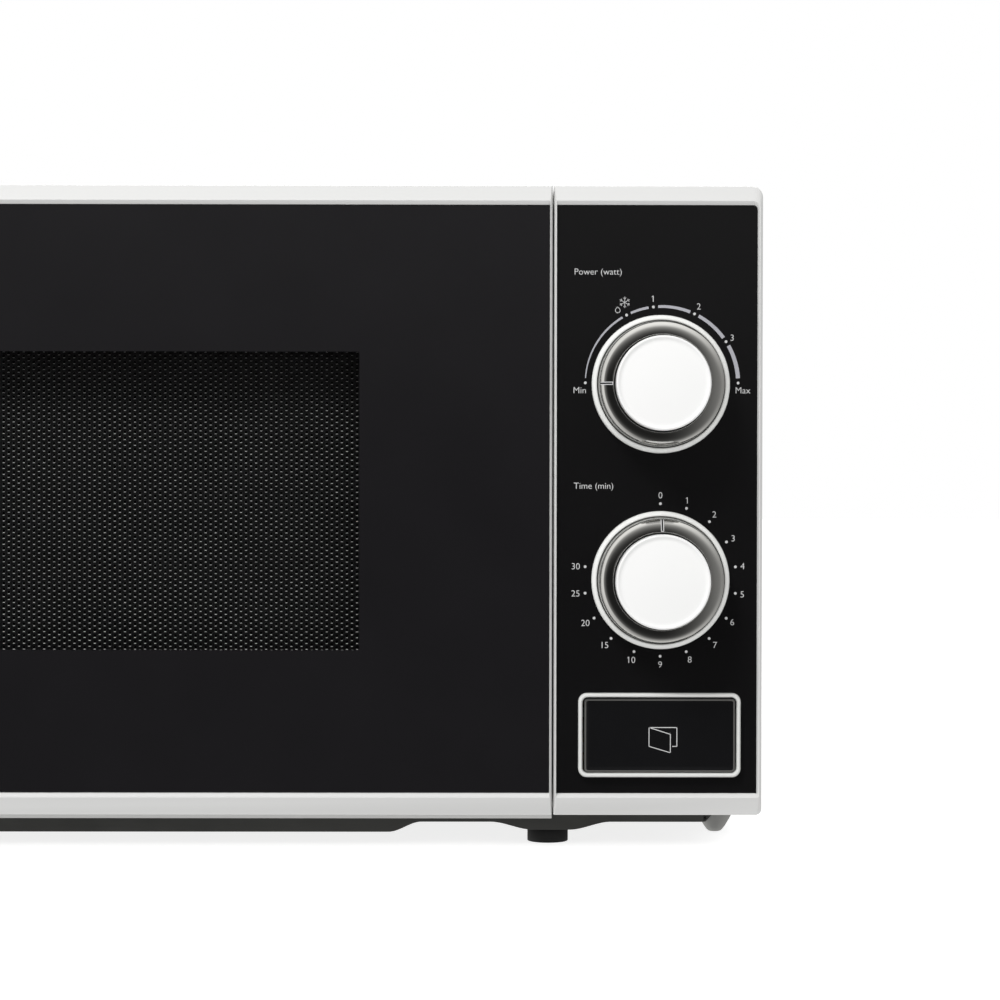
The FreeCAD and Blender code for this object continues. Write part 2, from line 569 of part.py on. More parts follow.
# Release lever: turned by the button's stem, its rear arm lifts the lower hook.
lower_arm = new_body("lever_arm_front")
del NODES["lever_arm_front"]
pad(lower_arm, "x", 161, 173, lambda s: loop(s, [(-124, 73), (-138.6, 53), (-138.6, 42), (-134.6, 42), (-134.6, 51.5), (-116, 74)]))
rear_arm = new_body("lever_arm_rear")
del NODES["lever_arm_rear"]
pad(rear_arm, "x", 131.2, 135.8, lambda s: loop(s, [(-122, 70.5), (-104.5, 74), (-104.5, 84), (-110.5, 84), (-111.5, 77.5), (-119, 77.5)]))
node("release_lever", cut(fuse(lower_arm, rear_arm, cyl("x", 129.5, lever_y, lever_z, 5, 43.5)), cyl("x", 128, lever_y, lever_z, 2 + run_fit, 47)))

# Latch board behind the front plate: side plate, two keepers and the lever's pin.
board = fuse(
    box(126, 128, -127.2, -88, 62, 206), cyl("x", 127, lever_y, lever_z, 2, 47.5),
    box(128, 139, -127.2, -113.6, 172.5, 180.6), box(128, 139, -127.2, -113.6, 81.2, 86.6), box(126, 144, -127.3, -125.3, 200, 206), box(126, 144, -127.3, -125.3, 108, 160),
)
node("latch_board", board)
node("microswitches", group(*[fuse(box(115.6, 125.9, -122, -94, z, z + 16), box(118, 123, -126.6, -122, z + 9, z + 11)) for z in (172, 130, 92)]))

# =============================================================================
# Door
# =============================================================================
frame_o = box(-half_w, door_x1, frame_y, door_back, frame_z0, top_z)
frame_in = box(-half_w + 2.2, door_x1 - 1.0, face_y + 3.2, door_back + 1, frame_z0 + 2.2, top_z - 2.2)
frame_win = box(-half_w + rail_w, door_x1 - 1.0, frame_y - 1, face_y + 4, frame_z0 + rail_h, top_z - rail_h)
boss_top = box(-half_w + 2, hinge_x + 8, hinge_y - 8, door_back - 0.5, 234, 246.5)
boss_bot = box(-half_w + 2, hinge_x + 8, hinge_y - 8, door_back - 0.5, frame_z0 + 2, 30)
strip = box(129.6, door_x1 - 0.9, -135.6, -133.4, frame_z0 + 2, top_z - 2)
notch = box(-half_w - 1, hinge_x + 12, hinge_y - 11, door_back + 1, 247, 253.6)
step = box(-half_w - 1, hinge_x - 1.5, -135, door_back + 1, frame_z0 - 1, top_z + 1)
door_frame = cut(
    fuse(cut(frame_o, frame_in, frame_win), boss_top, boss_bot, strip),
    notch, step,
    cyl("z", hinge_x, hinge_y, 236, pin_r + run_fit, 12),
    cyl("z", hinge_x, hinge_y, frame_z0 - 1, pin_r + run_fit, 12.2),
    box(hook_x - 3, hook_x + 3, -137, -132, 176, 198),
    box(hook_x - 3, hook_x + 3, -137, -132, 82, 105),
)
node("door_outer_frame", door_frame)

glass = new_body("door_glass")
pad(glass, "y", face_y, face_y + 3.2, lambda s: rect(s, -half_w + rail_w, door_x1 - 1, frame_z0 + rail_h, top_z - rail_h))

# Door body: pressed steel frame with the choke channel round the cavity opening.
choke = new_body("door_choke_frame")
pad(choke, "y", screen_y + 0.8, -133.2, lambda s: rect(s, -208, 129, 21, 246))
pocket(choke, "y", screen_y + 1.6, -132, lambda s: rect(s, -207.2, 128.2, 21.8, 245.2))
pad(choke, "y", screen_y + 1.5, -133.6, lambda s: [rect(s, -200, 118, 29, 239), rect(s, -199.2, 117.2, 29.8, 238.2)])
pocket(choke, "y", screen_y, -140, lambda s: rect(s, win_x0 - 4, win_x1 + 4, win_z0 - 4, win_z1 + 4))

screen = new_body("door_screen")
pad(screen, "y", screen_y, screen_y + 0.8, lambda s: rect(s, win_x0 - 8, win_x1 + 8, win_z0 - 8, win_z1 + 8))

cover = new_body("choke_cover")
pad(cover, "y", -132.6, -130.6, lambda s: rect(s, -208, 129, 21, 246))
pocket(cover, "y", -134, -130, lambda s: rect(s, -172, 90, 62, 216))

pane = new_body("door_inner_pane")
pad(pane, "y", -133.6, -132.6, lambda s: rect(s, -178, 96, 56, 222))

node("latch_hooks", fuse(
    box(hook_x - 1.9, hook_x + 1.9, -147, -139, 80, 200),
    box(hook_x - 1.9, hook_x + 1.9, -140, -107, 186, 193), box(hook_x - 1.9, hook_x + 1.9, -112, -107, 181, 186),
    box(hook_x - 1.9, hook_x + 1.9, -140, -107, 92.2, 99), box(hook_x - 1.9, hook_x + 1.9, -112, -107, 87, 92.2),
))
node("latch_spring", cut(cyl("z", hook_x, -143, 200.2, 3.4, 16), cyl("z", hook_x, -143, 199, 2.6, 19)))

# Hinge brackets on the front plate, and their pins.
node("hinge_brackets", group(cut(fuse(
    box(hinge_x - 6, hinge_x + 8, cab_front - 1.4, cab_front, 232, 251.4),
    box(hinge_x - 5, hinge_x + 5, hinge_y - 5, cab_front, 249.6, 251.4)),
    cyl("z", hinge_x, hinge_y, 248, pin_r, 5)), cut(fuse(
    box(hinge_x - 6, hinge_x + 8, cab_front - 1.4, cab_front, 14.6, 32),
    box(hinge_x - 5, hinge_x + 5, hinge_y - 5, cab_front, 14.6, 16.4)),
    cyl("z", hinge_x, hinge_y, 12, pin_r, 6))))
node("hinge_pins", group(cyl("z", hinge_x, hinge_y, 238, pin_r, 13.4), cyl("z", hinge_x, hinge_y, 14.6, pin_r, 12)))

# =============================================================================
# Turntable
# =============================================================================
node("turntable_motor", cut(
    fuse(cyl("z", tray_x, tray_y, 14.6, 24.5, 18.4), cyl("z", tray_x, tray_y, 33, 7, 1.6), box(tray_x - 34, tray_x + 34, tray_y - 5, tray_y + 5, 32.6, 34.6)),
    cyl("z", tray_x, tray_y, 24, 3.5 + run_fit, 12)))
lobes = []
for i in range(3):
    b = box(0, 18, -3.5, 3.5, 0, 8)
    b.Placement = FreeCAD.Placement(V(tray_x.v, tray_y.v, 41), FreeCAD.Rotation(V(0, 0, 1), 120 * i)).multiply(FreeCAD.Placement(V(0, -3.5, 0), FreeCAD.Rotation()))
    lobes.append(b)
node("drive_coupler", fuse(cyl("z", tray_x, tray_y, 26, 3.5, 9.5), cyl("z", tray_x, tray_y, 35.5, 7, 13.5), *lobes))

tray = turned("glass_turntable", (tray_x, tray_y, 0), "z", [
    (0, 50.2), (tray_r - 16, 50.2), (tray_r - 9, 51.4), (tray_r - 1.5, 59.2), (tray_r, 61.2), (tray_r - 1, 62.6), (tray_r - 3.2, 61.6), (tray_r - 11, 54.6), (tray_r - 17, 53.4), (0, 53.4)])
for i in range(3):
    a = math.radians(60 + 120 * i)
    lug_x, lug_y = tray_x + 12 * math.cos(a), tray_y + 12 * math.sin(a)
    pad(tray, "z", 44, 50.6, lambda s: circle(s, lug_x, lug_y, 2.8))

# Roller ring: a plastic ring with three axle stubs, and a roller on each.
ring_solid = cut(cyl("z", tray_x, tray_y, 41.0, ring_track - 5, 3.6), cyl("z", tray_x, tray_y, 40, ring_track - 12, 6))
stub_list = []
zc = cav_z0 + roller_r + 0.3
for i in range(3):
    a = 120 * i
    c = cyl("x", 0, 0, 0, 2, 13)
    c.Placement = FreeCAD.Placement(V(tray_x.v, tray_y.v, zc.v), FreeCAD.Rotation(V(0, 0, 1), a)).multiply(FreeCAD.Placement(V(ring_track.v - 7, 0, 0), ROT["x"]))
    stub_list.append(c)
node("roller_ring", fuse(ring_solid, *stub_list))
for i in range(3):
    a = 120 * i
    o = cyl("x", 0, 0, 0, roller_r, 7)
    h = cyl("x", 0, 0, 0, 2 + run_fit, 9)
    for q, d in ((o, -3.2), (h, -4.2)):
        q.Placement = FreeCAD.Placement(V(tray_x.v, tray_y.v, zc.v), FreeCAD.Rotation(V(0, 0, 1), a)).multiply(FreeCAD.Placement(V(ring_track.v + d, 0, 0), ROT["x"]))
    node("roller_%d" % (i + 1), cut(o, h))


# Wiring harness: one bundle along the compartment, straight runs joined by tangent arcs.
def route(points, radius, r):
    edges, here = [], V(*points[0])
    for i in range(1, len(points) - 1):
        p, q, n = V(*points[i - 1]), V(*points[i]), V(*points[i + 1])
        u, w = (q - p).normalize(), (n - q).normalize()
        half = u.getAngle(w) / 2
        t = radius * math.tan(half)
        a, b = q - u * t, q + w * t
        c = q + (w - u).normalize() * (radius / math.cos(half))
        m = c + (q - c).normalize() * radius
        edges += [Part.LineSegment(here, a).toShape(), Part.Arc(a, m, b).toShape()]
        here = b
    edges.append(Part.LineSegment(here, V(*points[-1])).toShape())
    wire = Part.Wire(edges)
    d = (V(*points[1]) - V(*points[0])).normalize()
    ring = Part.Wire([Part.Circle(V(*points[0]), d, r).toShape()])
    solid = wire.makePipeShell([ring], True, True)
    print("harness radii", radius, "length", round(wire.Length, 1), "volume ratio", round(solid.Volume / (math.pi * r * r * wire.Length), 3))
    return solid


harness = doc.addObject("Part::Feature", "Harness")
harness.Shape = route([(218, -100, 140), (218, -40, 140), (218, 10, 118), (218, 80, 110), (200, 104, 100)], 14, 2.4)
node("wiring_harness", harness)

# =============================================================================
doc.recompute()
bad = [o.Label for o in doc.Objects if "Invalid" in o.State or "Error" in o.State]
if bad:
    raise RuntimeError("these objects failed: %s" % bad)
total = 0
for label, o in NODES.items():
    sh = o.Shape
    if sh.isNull() or not sh.isValid() or not sh.Solids or sh.Volume <= 0:
        raise RuntimeError("%s has no valid solid" % label)
for old in os.listdir("parts"):
    if old.endswith(".step") and old[:-5] not in NODES:
        os.remove(os.path.join("parts", old))
for label, o in NODES.items():
    o.Shape.exportStep("parts/%s.step" % label)
box_all = FreeCAD.BoundBox()
for o in NODES.values():
    box_all.add(o.Shape.BoundBox)
print(len(NODES), "nodes", box_all)
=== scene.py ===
import math

import bpy
import bmesh
from mathutils import Matrix, Vector


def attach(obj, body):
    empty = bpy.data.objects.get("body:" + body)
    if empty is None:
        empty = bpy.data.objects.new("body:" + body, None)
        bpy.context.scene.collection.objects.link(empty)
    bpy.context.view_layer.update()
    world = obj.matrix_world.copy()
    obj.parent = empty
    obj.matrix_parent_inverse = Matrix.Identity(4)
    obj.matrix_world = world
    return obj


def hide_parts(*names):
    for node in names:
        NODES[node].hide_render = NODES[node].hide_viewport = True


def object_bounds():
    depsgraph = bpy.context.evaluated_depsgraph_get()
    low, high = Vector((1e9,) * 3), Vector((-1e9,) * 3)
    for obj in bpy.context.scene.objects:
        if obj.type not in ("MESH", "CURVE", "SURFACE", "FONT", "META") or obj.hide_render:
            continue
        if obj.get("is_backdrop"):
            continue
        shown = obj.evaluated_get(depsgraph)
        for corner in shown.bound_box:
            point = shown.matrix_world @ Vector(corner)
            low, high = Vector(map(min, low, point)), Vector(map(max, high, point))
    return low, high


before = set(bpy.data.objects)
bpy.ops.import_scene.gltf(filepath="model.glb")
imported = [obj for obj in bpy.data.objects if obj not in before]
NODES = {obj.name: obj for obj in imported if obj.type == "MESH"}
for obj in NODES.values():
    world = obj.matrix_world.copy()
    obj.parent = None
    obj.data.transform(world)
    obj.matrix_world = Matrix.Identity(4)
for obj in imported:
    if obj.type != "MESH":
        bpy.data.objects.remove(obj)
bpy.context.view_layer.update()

MM = 0.001


# =============================================================================
# Materials: all procedural, in the row frame's own metres
# =============================================================================
def material(name, color, rough=0.4, metal=0.0, spec=0.5, ior=1.5, coat=0.0, coat_rough=0.06,
             var=0.04, var_scale=25.0, rough_var=0.06, rough_scale=180.0,
             bump=0.15, bump_scale=1400.0, bump_mm=0.02, stretch=(1, 1, 1), alpha=1.0,
             tint=None, transmission=0.0, detail=4.0, cells=False, spangle=0):
    m = bpy.data.materials.new(name)
    m.use_nodes = True
    nt = m.node_tree
    n, link = nt.nodes, nt.links.new
    b = n["Principled BSDF"]
    b.inputs["Metallic"].default_value = metal
    b.inputs["IOR"].default_value = ior
    b.inputs["Specular IOR Level"].default_value = spec
    b.inputs["Coat Weight"].default_value = coat
    b.inputs["Coat Roughness"].default_value = coat_rough
    b.inputs["Alpha"].default_value = alpha
    b.inputs["Transmission Weight"].default_value = transmission
    tc = n.new("ShaderNodeTexCoord")
    mp = n.new("ShaderNodeMapping")
    mp.inputs["Scale"].default_value = stretch
    link(tc.outputs["Object"], mp.inputs["Vector"])

    def noise(scale, det=detail):
        t = n.new("ShaderNodeTexNoise")
        t.inputs["Scale"].default_value = scale
        t.inputs["Detail"].default_value = det
        link(mp.outputs["Vector"], t.inputs["Vector"])
        return t.outputs["Fac"]

    ramp = n.new("ShaderNodeValToRGB")
    c2 = tint if tint else tuple(min(1.0, c * (1 + var)) for c in color)
    ramp.color_ramp.elements[0].position = 0.3
    ramp.color_ramp.elements[0].color = (*[c * (1 - var) for c in color], 1)
    ramp.color_ramp.elements[1].position = 0.7
    ramp.color_ramp.elements[1].color = (*c2, 1)
    if spangle:
        cell = n.new("ShaderNodeTexVoronoi")
        cell.inputs["Scale"].default_value = spangle
        link(mp.outputs["Vector"], cell.inputs["Vector"])
        grey = n.new("ShaderNodeRGBToBW")
        link(cell.outputs["Color"], grey.inputs["Color"])
        link(grey.outputs["Val"], ramp.inputs["Fac"])
    else:
        link(noise(var_scale), ramp.inputs["Fac"])
    link(ramp.outputs["Color"], b.inputs["Base Color"])
    mr = n.new("ShaderNodeMapRange")
    mr.inputs["From Min"].default_value = 0.3
    mr.inputs["From Max"].default_value = 0.7
    mr.inputs["To Min"].default_value = max(0.0, rough - rough_var)
    mr.inputs["To Max"].default_value = min(1.0, rough + rough_var)
    link(noise(rough_scale), mr.inputs["Value"])
    link(mr.outputs["Result"], b.inputs["Roughness"])
    if bump > 0:
        bp = n.new("ShaderNodeBump")
        bp.inputs["Strength"].default_value = bump
        bp.inputs["Distance"].default_value = bump_mm * MM
        if cells:
            vo = n.new("ShaderNodeTexVoronoi")
            vo.inputs["Scale"].default_value = bump_scale
            link(mp.outputs["Vector"], vo.inputs["Vector"])
            link(vo.outputs["Distance"], bp.inputs["Height"])
        else:
            link(noise(bump_scale, 2.0), bp.inputs["Height"])
        link(bp.outputs["Normal"], b.inputs["Normal"])
    return m


MAT = {
    "white": material("frame_white_gloss", (0.752, 0.752, 0.742), rough=0.24, coat=0.25, var=0.006, var_scale=9, rough_var=0.012, rough_scale=30, bump=0.3, bump_scale=420, bump_mm=0.0016),
    "cap": material("knob_cap_white", (0.96, 0.96, 0.95), rough=0.34, var=0.006, rough_var=0.015, bump=0.25, bump_scale=700, bump_mm=0.0012),
    "silver": material("silver_paint", (0.94, 0.945, 0.92), rough=0.28, metal=0.0, coat=0.5, coat_rough=0.12, var=0.008, rough_var=0.015, bump=0.25, bump_scale=900, bump_mm=0.001),
    "cabinet": material("cabinet_enamel", (0.67, 0.67, 0.66), rough=0.40, coat=0.12, coat_rough=0.25, var=0.008, var_scale=12, rough_var=0.03, bump=0.5, bump_scale=330, bump_mm=0.008),
    "black_glass": material("black_printed_glass", (0.0130, 0.0123, 0.0138), rough=0.045, var=0.05, rough_var=0.006, bump=0.0),
    "fascia": material("fascia_black_gloss", (0.0074, 0.0071, 0.0076), rough=0.11, var=0.06, rough_var=0.012, bump=0.2, bump_scale=500, bump_mm=0.0008),
    "window": material("tinted_window", (0.002, 0.002, 0.0022), rough=0.04, var=0.1, rough_var=0.006, bump=0.0, alpha=0.09, spec=0.4),
    "screen": material("screen_black_face", (0.0092, 0.0092, 0.0098), rough=0.42, var=0.12, var_scale=60, rough_var=0.06, bump=0.4, bump_scale=1500, bump_mm=0.004, spec=0.3),
    # Bright finish for the lower lip of each screen hole: a painted highlight for the glint the light from above puts
    # there.
    "screen_edge": material("screen_lower_lip_painted_highlight", (0.74, 0.74, 0.73), rough=0.34, metal=0.0, var=0.15, var_scale=90, rough_var=0.06, bump=0.2, bump_scale=1500, bump_mm=0.004),
    "screen_wall": material("screen_hole_wall", (0.008, 0.008, 0.008), rough=0.5, var=0.12, bump=0.2, bump_scale=1500, bump_mm=0.004),
    "door_steel": material("door_body_enamel", (0.030, 0.030, 0.032), rough=0.36, var=0.08, rough_var=0.03, bump=0.4, bump_scale=420, bump_mm=0.006),
    "chrome": material("plated_chrome", (0.66, 0.655, 0.635), rough=0.055, metal=1.0, var=0.012, rough_var=0.012, rough_scale=60, bump=0.2, bump_scale=260, bump_mm=0.0006),
    "dome_wall": material("dome_side_satin", (0.50, 0.50, 0.48), rough=0.27, metal=0.72, var=0.01, rough_var=0.02, bump=0.2, bump_scale=300, bump_mm=0.0006),
    "bezel": material("bezel_silver_paint", (0.80, 0.805, 0.785), rough=0.25, coat=0.5, coat_rough=0.12, var=0.008, rough_var=0.015, bump=0.25, bump_scale=900, bump_mm=0.001),
    # Lighter grey for the door button's rim: a painted highlight for the light its edge catches.
    "button_edge": material("button_rim_painted_highlight", (0.115, 0.113, 0.108), rough=0.25, var=0.04, rough_var=0.015, bump=0.2, bump_scale=600, bump_mm=0.001),
    "button": material("button_black_gloss", (0.0078, 0.0078, 0.0088), rough=0.17, var=0.06, rough_var=0.015, bump=0.25, bump_scale=600, bump_mm=0.0012),
    "print": material("pale_print", (0.66, 0.66, 0.66), rough=0.5, var=0.02, bump=0.05, bump_mm=0.001),
    "print_grey": material("lavender_grey_print", (0.46, 0.46, 0.50), rough=0.5, var=0.03, bump=0.05, bump_mm=0.001),
    # Matte black for gaps: painted shade in the dial and bezel gaps; it is also the print colour of each pointer's
    # middle.
    "gap": material("dark_gap_painted_shade_and_print", (0.008, 0.008, 0.008), rough=0.55, var=0.1, bump=0.1, bump_mm=0.002),
    "rubber": material("foot_rubber", (0.012, 0.012, 0.012), rough=0.7, var=0.15, rough_var=0.06, bump=0.5, bump_scale=700, bump_mm=0.02),
    "zinc": material("zinc_coated_steel", (0.42, 0.43, 0.44), rough=0.36, metal=0.8, var=0.045, rough_var=0.05, bump=0.2, bump_scale=240, bump_mm=0.003, cells=True, spangle=250),
    # Base plate steel darkened to the shade under the oven: painted shade. The corner stop below is a lighter copy of
    # the same steel: painted light where it catches the lamp.
    "base_steel": material("base_plate_steel_painted_shade", (0.095, 0.095, 0.090), rough=0.42, metal=0.55, var=0.08, var_scale=40, rough_var=0.05, bump=0.3, bump_scale=260, bump_mm=0.004),
    "base_stop": material("base_stop_steel_painted_light", (0.30, 0.30, 0.29), rough=0.45, metal=0.4, var=0.08, var_scale=60, rough_var=0.05, bump=0.3, bump_scale=260, bump_mm=0.004),
    "bright_zinc": material("bright_zinc_plate", (0.60, 0.60, 0.57), rough=0.27, metal=1.0, var=0.05, rough_var=0.05, bump=0.15, bump_scale=300, bump_mm=0.003),
    "enamel": material("cavity_grey_enamel", (0.50, 0.50, 0.485), rough=0.30, coat=0.25, coat_rough=0.15, var=0.02, var_scale=30, rough_var=0.03, bump=0.5, bump_scale=260, bump_mm=0.006),
    "front_plate": material("front_plate_enamel", (0.70, 0.70, 0.685), rough=0.30, coat=0.2, var=0.008, var_scale=12, rough_var=0.02, bump=0.4, bump_scale=330, bump_mm=0.005),
    "choke": material("choke_cover_plastic", (0.040, 0.040, 0.042), rough=0.48, var=0.05, rough_var=0.04, bump=0.6, bump_scale=700, bump_mm=0.012),
    # Smoky tint of the inner pane, darkened so the screen's holes read black: partly a real tint, partly painted shade
    # for the closed oven behind.
    "pane": material("smoked_pane_with_painted_oven_shade", (0.008, 0.008, 0.009), rough=0.05, var=0.05, rough_var=0.01, bump=0.0, alpha=0.70),
    "tray": material("tray_glass", (0.60, 0.70, 0.68), rough=0.05, var=0.02, rough_var=0.012, bump=0.2, bump_scale=90, bump_mm=0.004, alpha=0.24, ior=1.5),
    "tray_edge": material("tray_glass_rim", (0.42, 0.60, 0.56), rough=0.06, var=0.04, rough_var=0.012, bump=0.2, bump_scale=90, bump_mm=0.004, alpha=0.62, ior=1.5),
    "nylon": material("natural_nylon", (0.66, 0.65, 0.59), rough=0.5, var=0.03, rough_var=0.03, bump=0.4, bump_scale=500, bump_mm=0.006),
    "grey_nylon": material("grey_nylon", (0.26, 0.26, 0.26), rough=0.5, var=0.05, rough_var=0.03, bump=0.4, bump_scale=500, bump_mm=0.006),
    "steel_wire": material("spring_wire", (0.46, 0.46, 0.46), rough=0.28, metal=1.0, var=0.06, rough_var=0.04, bump=0.15, bump_scale=500, bump_mm=0.002),
    "mica": material("mica_sheet", (0.50, 0.43, 0.32), rough=0.45, var=0.12, var_scale=220, rough_var=0.10, bump=0.4, bump_scale=300, bump_mm=0.01, tint=(0.64, 0.58, 0.47)),
    "fins": material("fin_aluminium", (0.72, 0.72, 0.73), rough=0.32, metal=1.0, var=0.05, bump=0.2, bump_mm=0.004, stretch=(1, 8, 1)),
    "core": material("laminated_core", (0.12, 0.12, 0.125), rough=0.5, metal=0.6, var=0.35, var_scale=14, rough_var=0.12, bump=1.0, bump_scale=900, bump_mm=0.1, stretch=(0.02, 1, 0.02)),
    "copper": material("enamelled_copper", (0.42, 0.15, 0.05), rough=0.3, metal=0.7, var=0.25, var_scale=60, bump=1.0, bump_scale=700, bump_mm=0.2, stretch=(0.05, 0.05, 1), tint=(0.55, 0.24, 0.09)),
    "dark": material("moulded_dark", (0.030, 0.030, 0.032), rough=0.5, var=0.10, rough_var=0.04, bump=0.4, bump_scale=500, bump_mm=0.01),
    "blue": material("capacitor_can", (0.52, 0.52, 0.53), rough=0.3, metal=1.0, var=0.05, bump=0.15, bump_mm=0.003, stretch=(1, 1, 6)),
    "board": material("circuit_board", (0.03, 0.12, 0.05), rough=0.4, var=0.2, var_scale=160, bump=0.3, bump_mm=0.01, tint=(0.05, 0.17, 0.08)),
    "bulb": material("lamp_glass", (0.92, 0.90, 0.82), rough=0.12, var=0.03, bump=0.05, bump_mm=0.002, alpha=0.6),
    "floor": material("floor_pale", (0.60, 0.60, 0.60), rough=0.8, spec=0.1, var=0.004, var_scale=3, rough_var=0.02, bump=0.02, bump_scale=60, bump_mm=0.01),
}


# =============================================================================
# Mesh helpers. Sizes are in millimetres, in the row frame; objects come out in metres.
# =============================================================================
def finish_mesh(ob, smooth_deg=35):
    me = ob.data
    if smooth_deg:
        me.shade_smooth()
        me.set_sharp_from_angle(angle=math.radians(smooth_deg))
    return ob


def make(name, verts, faces, mats, body, face_mat=None, smooth_deg=35, fix=True):
    me = bpy.data.meshes.new(name)
    me.from_pydata([(x * MM, y * MM, z * MM) for x, y, z in verts], [], faces)
    mats = mats if isinstance(mats, (list, tuple)) else [mats]
    for k in mats:
        me.materials.append(MAT[k] if isinstance(k, str) else k)
    if face_mat:
        me.polygons.foreach_set("material_index", face_mat)
    me.update()
    if fix:
        bm = bmesh.new()
        bm.from_mesh(me)
        bmesh.ops.recalc_face_normals(bm, faces=bm.faces)
        bm.to_mesh(me)
        bm.free()
    ob = bpy.data.objects.new(name, me)
    bpy.context.scene.collection.objects.link(ob)
    finish_mesh(ob, smooth_deg)
    if body:
        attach(ob, body)
    return ob


class Build:
    """Gathers several pieces of geometry into one mesh."""

    def __init__(self):
        self.v, self.f, self.m = [], [], []

    def add(self, verts, faces, mat=0):
        k = len(self.v)
        self.v += list(verts)
        self.f += [tuple(i + k for i in f) for f in faces]
        self.m += [mat] * len(faces)

    def box(self, x0, x1, y0, y1, z0, z1, mat=0, c=0.0, axis=None):
        """A block whose edges are all cut back by c."""
        if c <= 0:
            v = [(x, y, z) for x in (x0, x1) for y in (y0, y1) for z in (z0, z1)]
            f = [(0, 1, 3, 2), (4, 6, 7, 5), (0, 4, 5, 1), (2, 3, 7, 6), (0, 2, 6, 4), (1, 5, 7, 3)]
            self.add(v, f, mat)
            return
        bm = bmesh.new()
        vs = [bm.verts.new(p) for p in [(x, y, z) for x in (x0, x1) for y in (y0, y1) for z in (z0, z1)]]
        for f in [(0, 1, 3, 2), (4, 6, 7, 5), (0, 4, 5, 1), (2, 3, 7, 6), (0, 2, 6, 4), (1, 5, 7, 3)]:
            bm.faces.new([vs[i] for i in f])
        bmesh.ops.recalc_face_normals(bm, faces=bm.faces)
        bmesh.ops.bevel(bm, geom=list(bm.edges), offset=c, segments=2, profile=0.5, affect="EDGES", clamp_overlap=True)
        bm.verts.index_update()
        self.add([tuple(v.co) for v in bm.verts], [tuple(v.index for v in f.verts) for f in bm.faces], mat)
        bm.free()

    def lathe(self, centre, axis, prof, seg=96, mat=0, closed=True, a0=0.0, a1=360.0):
        """Turns (radius, position) points about an axis (x, y or z) through centre (the two other coordinates)."""
        full = a1 - a0 >= 359.99
        n = seg if full else seg + 1
        v, f = [], []
        for r, p in prof:
            for i in range(n):
                a = math.radians(a0 + (a1 - a0) * i / seg)
                u, w = centre[0] + r * math.cos(a), centre[1] + r * math.sin(a)
                v.append({"y": (u, p, w), "z": (u, w, p), "x": (p, u, w)}[axis])
        k = len(prof)
        for j in range(k if closed else k - 1):
            j2 = (j + 1) % k
            for i in range(seg):
                i2 = (i + 1) % n
                q = (j * n + i, j * n + i2, j2 * n + i2, j2 * n + i)
                pts = []
                for t in q:
                    if not pts or v[t] != v[pts[-1]]:
                        pts.append(t)
                if len(pts) > 1 and v[pts[0]] == v[pts[-1]]:
                    pts.pop()
                if len(pts) >= 3:
                    f.append(tuple(pts))
        self.add(v, f, mat)

    def done(self, name, mats, body, smooth_deg=35, slot=None, weld=True):
        ob = make(name, self.v, self.f, mats, body, face_mat=self.m, smooth_deg=0, fix=False)
        bm = bmesh.new()
        bm.from_mesh(ob.data)
        if weld:
            bmesh.ops.remove_doubles(bm, verts=bm.verts, dist=2e-7)
        bmesh.ops.recalc_face_normals(bm, faces=bm.faces)
        bm.to_mesh(ob.data)
        bm.free()
        finish_mesh(ob, smooth_deg)
        return ob


def rounded_loop(x0, x1, z0, z1, r, n=6):
    """Outline of a rectangle with rounded corners: r is one radius or (tl, tr, br, bl). Anticlockwise from the lower left."""
    tl, tr, br, bl = r if isinstance(r, (tuple, list)) else (r,) * 4
    out = []
    for cx, cz, rad, a0 in ((x0 + bl, z0 + bl, bl, 180), (x1 - br, z0 + br, br, 270), (x1 - tr, z1 - tr, tr, 0), (x0 + tl, z1 - tl, tl, 90)):
        for i in range(n + 1):
            a = math.radians(a0 + 90 * i / n)
            out.append((cx + rad * math.cos(a), cz + rad * math.sin(a)))
    return out


def loft(b, sections, axis="y", closed=True, mat=0, cap0=False, cap1=False, n=6, mats=None):
    """Skins rounded-rectangle sections (x0, x1, z0, z1, r, y) one after another."""
    loops = []
    for x0, x1, z0, z1, r, y in sections:
        loops.append([{"y": (u, y, w), "z": (u, w, y), "x": (y, u, w)}[axis] for u, w in rounded_loop(x0, x1, z0, z1, r, n)])
    m = len(loops[0])
    v = [p for lp in loops for p in lp]
    k = len(loops)
    for j in range(k if closed else k - 1):
        j2 = (j + 1) % k
        f = [(j * m + i, j * m + (i + 1) % m, j2 * m + (i + 1) % m, j2 * m + i) for i in range(m)]
        base = len(b.v)
        b.f += [tuple(t + base for t in q) for q in f]
        b.m += [mats[j] if mats else mat] * len(f)
    if cap0:
        b.f.append(tuple(len(b.v) + i for i in range(m)))
        b.m.append(mat)
    if cap1:
        b.f.append(tuple(len(b.v) + (k - 1) * m + i for i in range(m)))
        b.m.append(mat)
    b.v += v


def slots_cut(ob, cutters):
    """Cuts a set of closed cutter shapes out of a piece."""
    for i, c in enumerate(cutters):
        c.hide_render = True
        mod = ob.modifiers.new("cut%d" % i, "BOOLEAN")
        mod.object = c
        mod.solver = "EXACT"
        mod.operation = "DIFFERENCE"
    bpy.context.view_layer.update()
    dg = bpy.context.evaluated_depsgraph_get()
    me = bpy.data.meshes.new_from_object(ob.evaluated_get(dg))
    ob.modifiers.clear()
    old = ob.data
    ob.data = me
    bpy.data.meshes.remove(old)
    for c in cutters:
        bpy.data.objects.remove(c)
    return ob


def capsule(b, axis, lo, hi, u0, u1, w0, w1, seg=6):
    """A slot-shaped prism along the axis: rounded at its short ends."""
    horizontal = (u1 - u0) >= (w1 - w0)
    r = ((w1 - w0) if horizontal else (u1 - u0)) / 2
    loft(b, [(u0, u1, w0, w1, r * 0.999, lo), (u0, u1, w0, w1, r * 0.999, hi)], axis=axis, closed=False, cap0=True, cap1=True, n=seg)


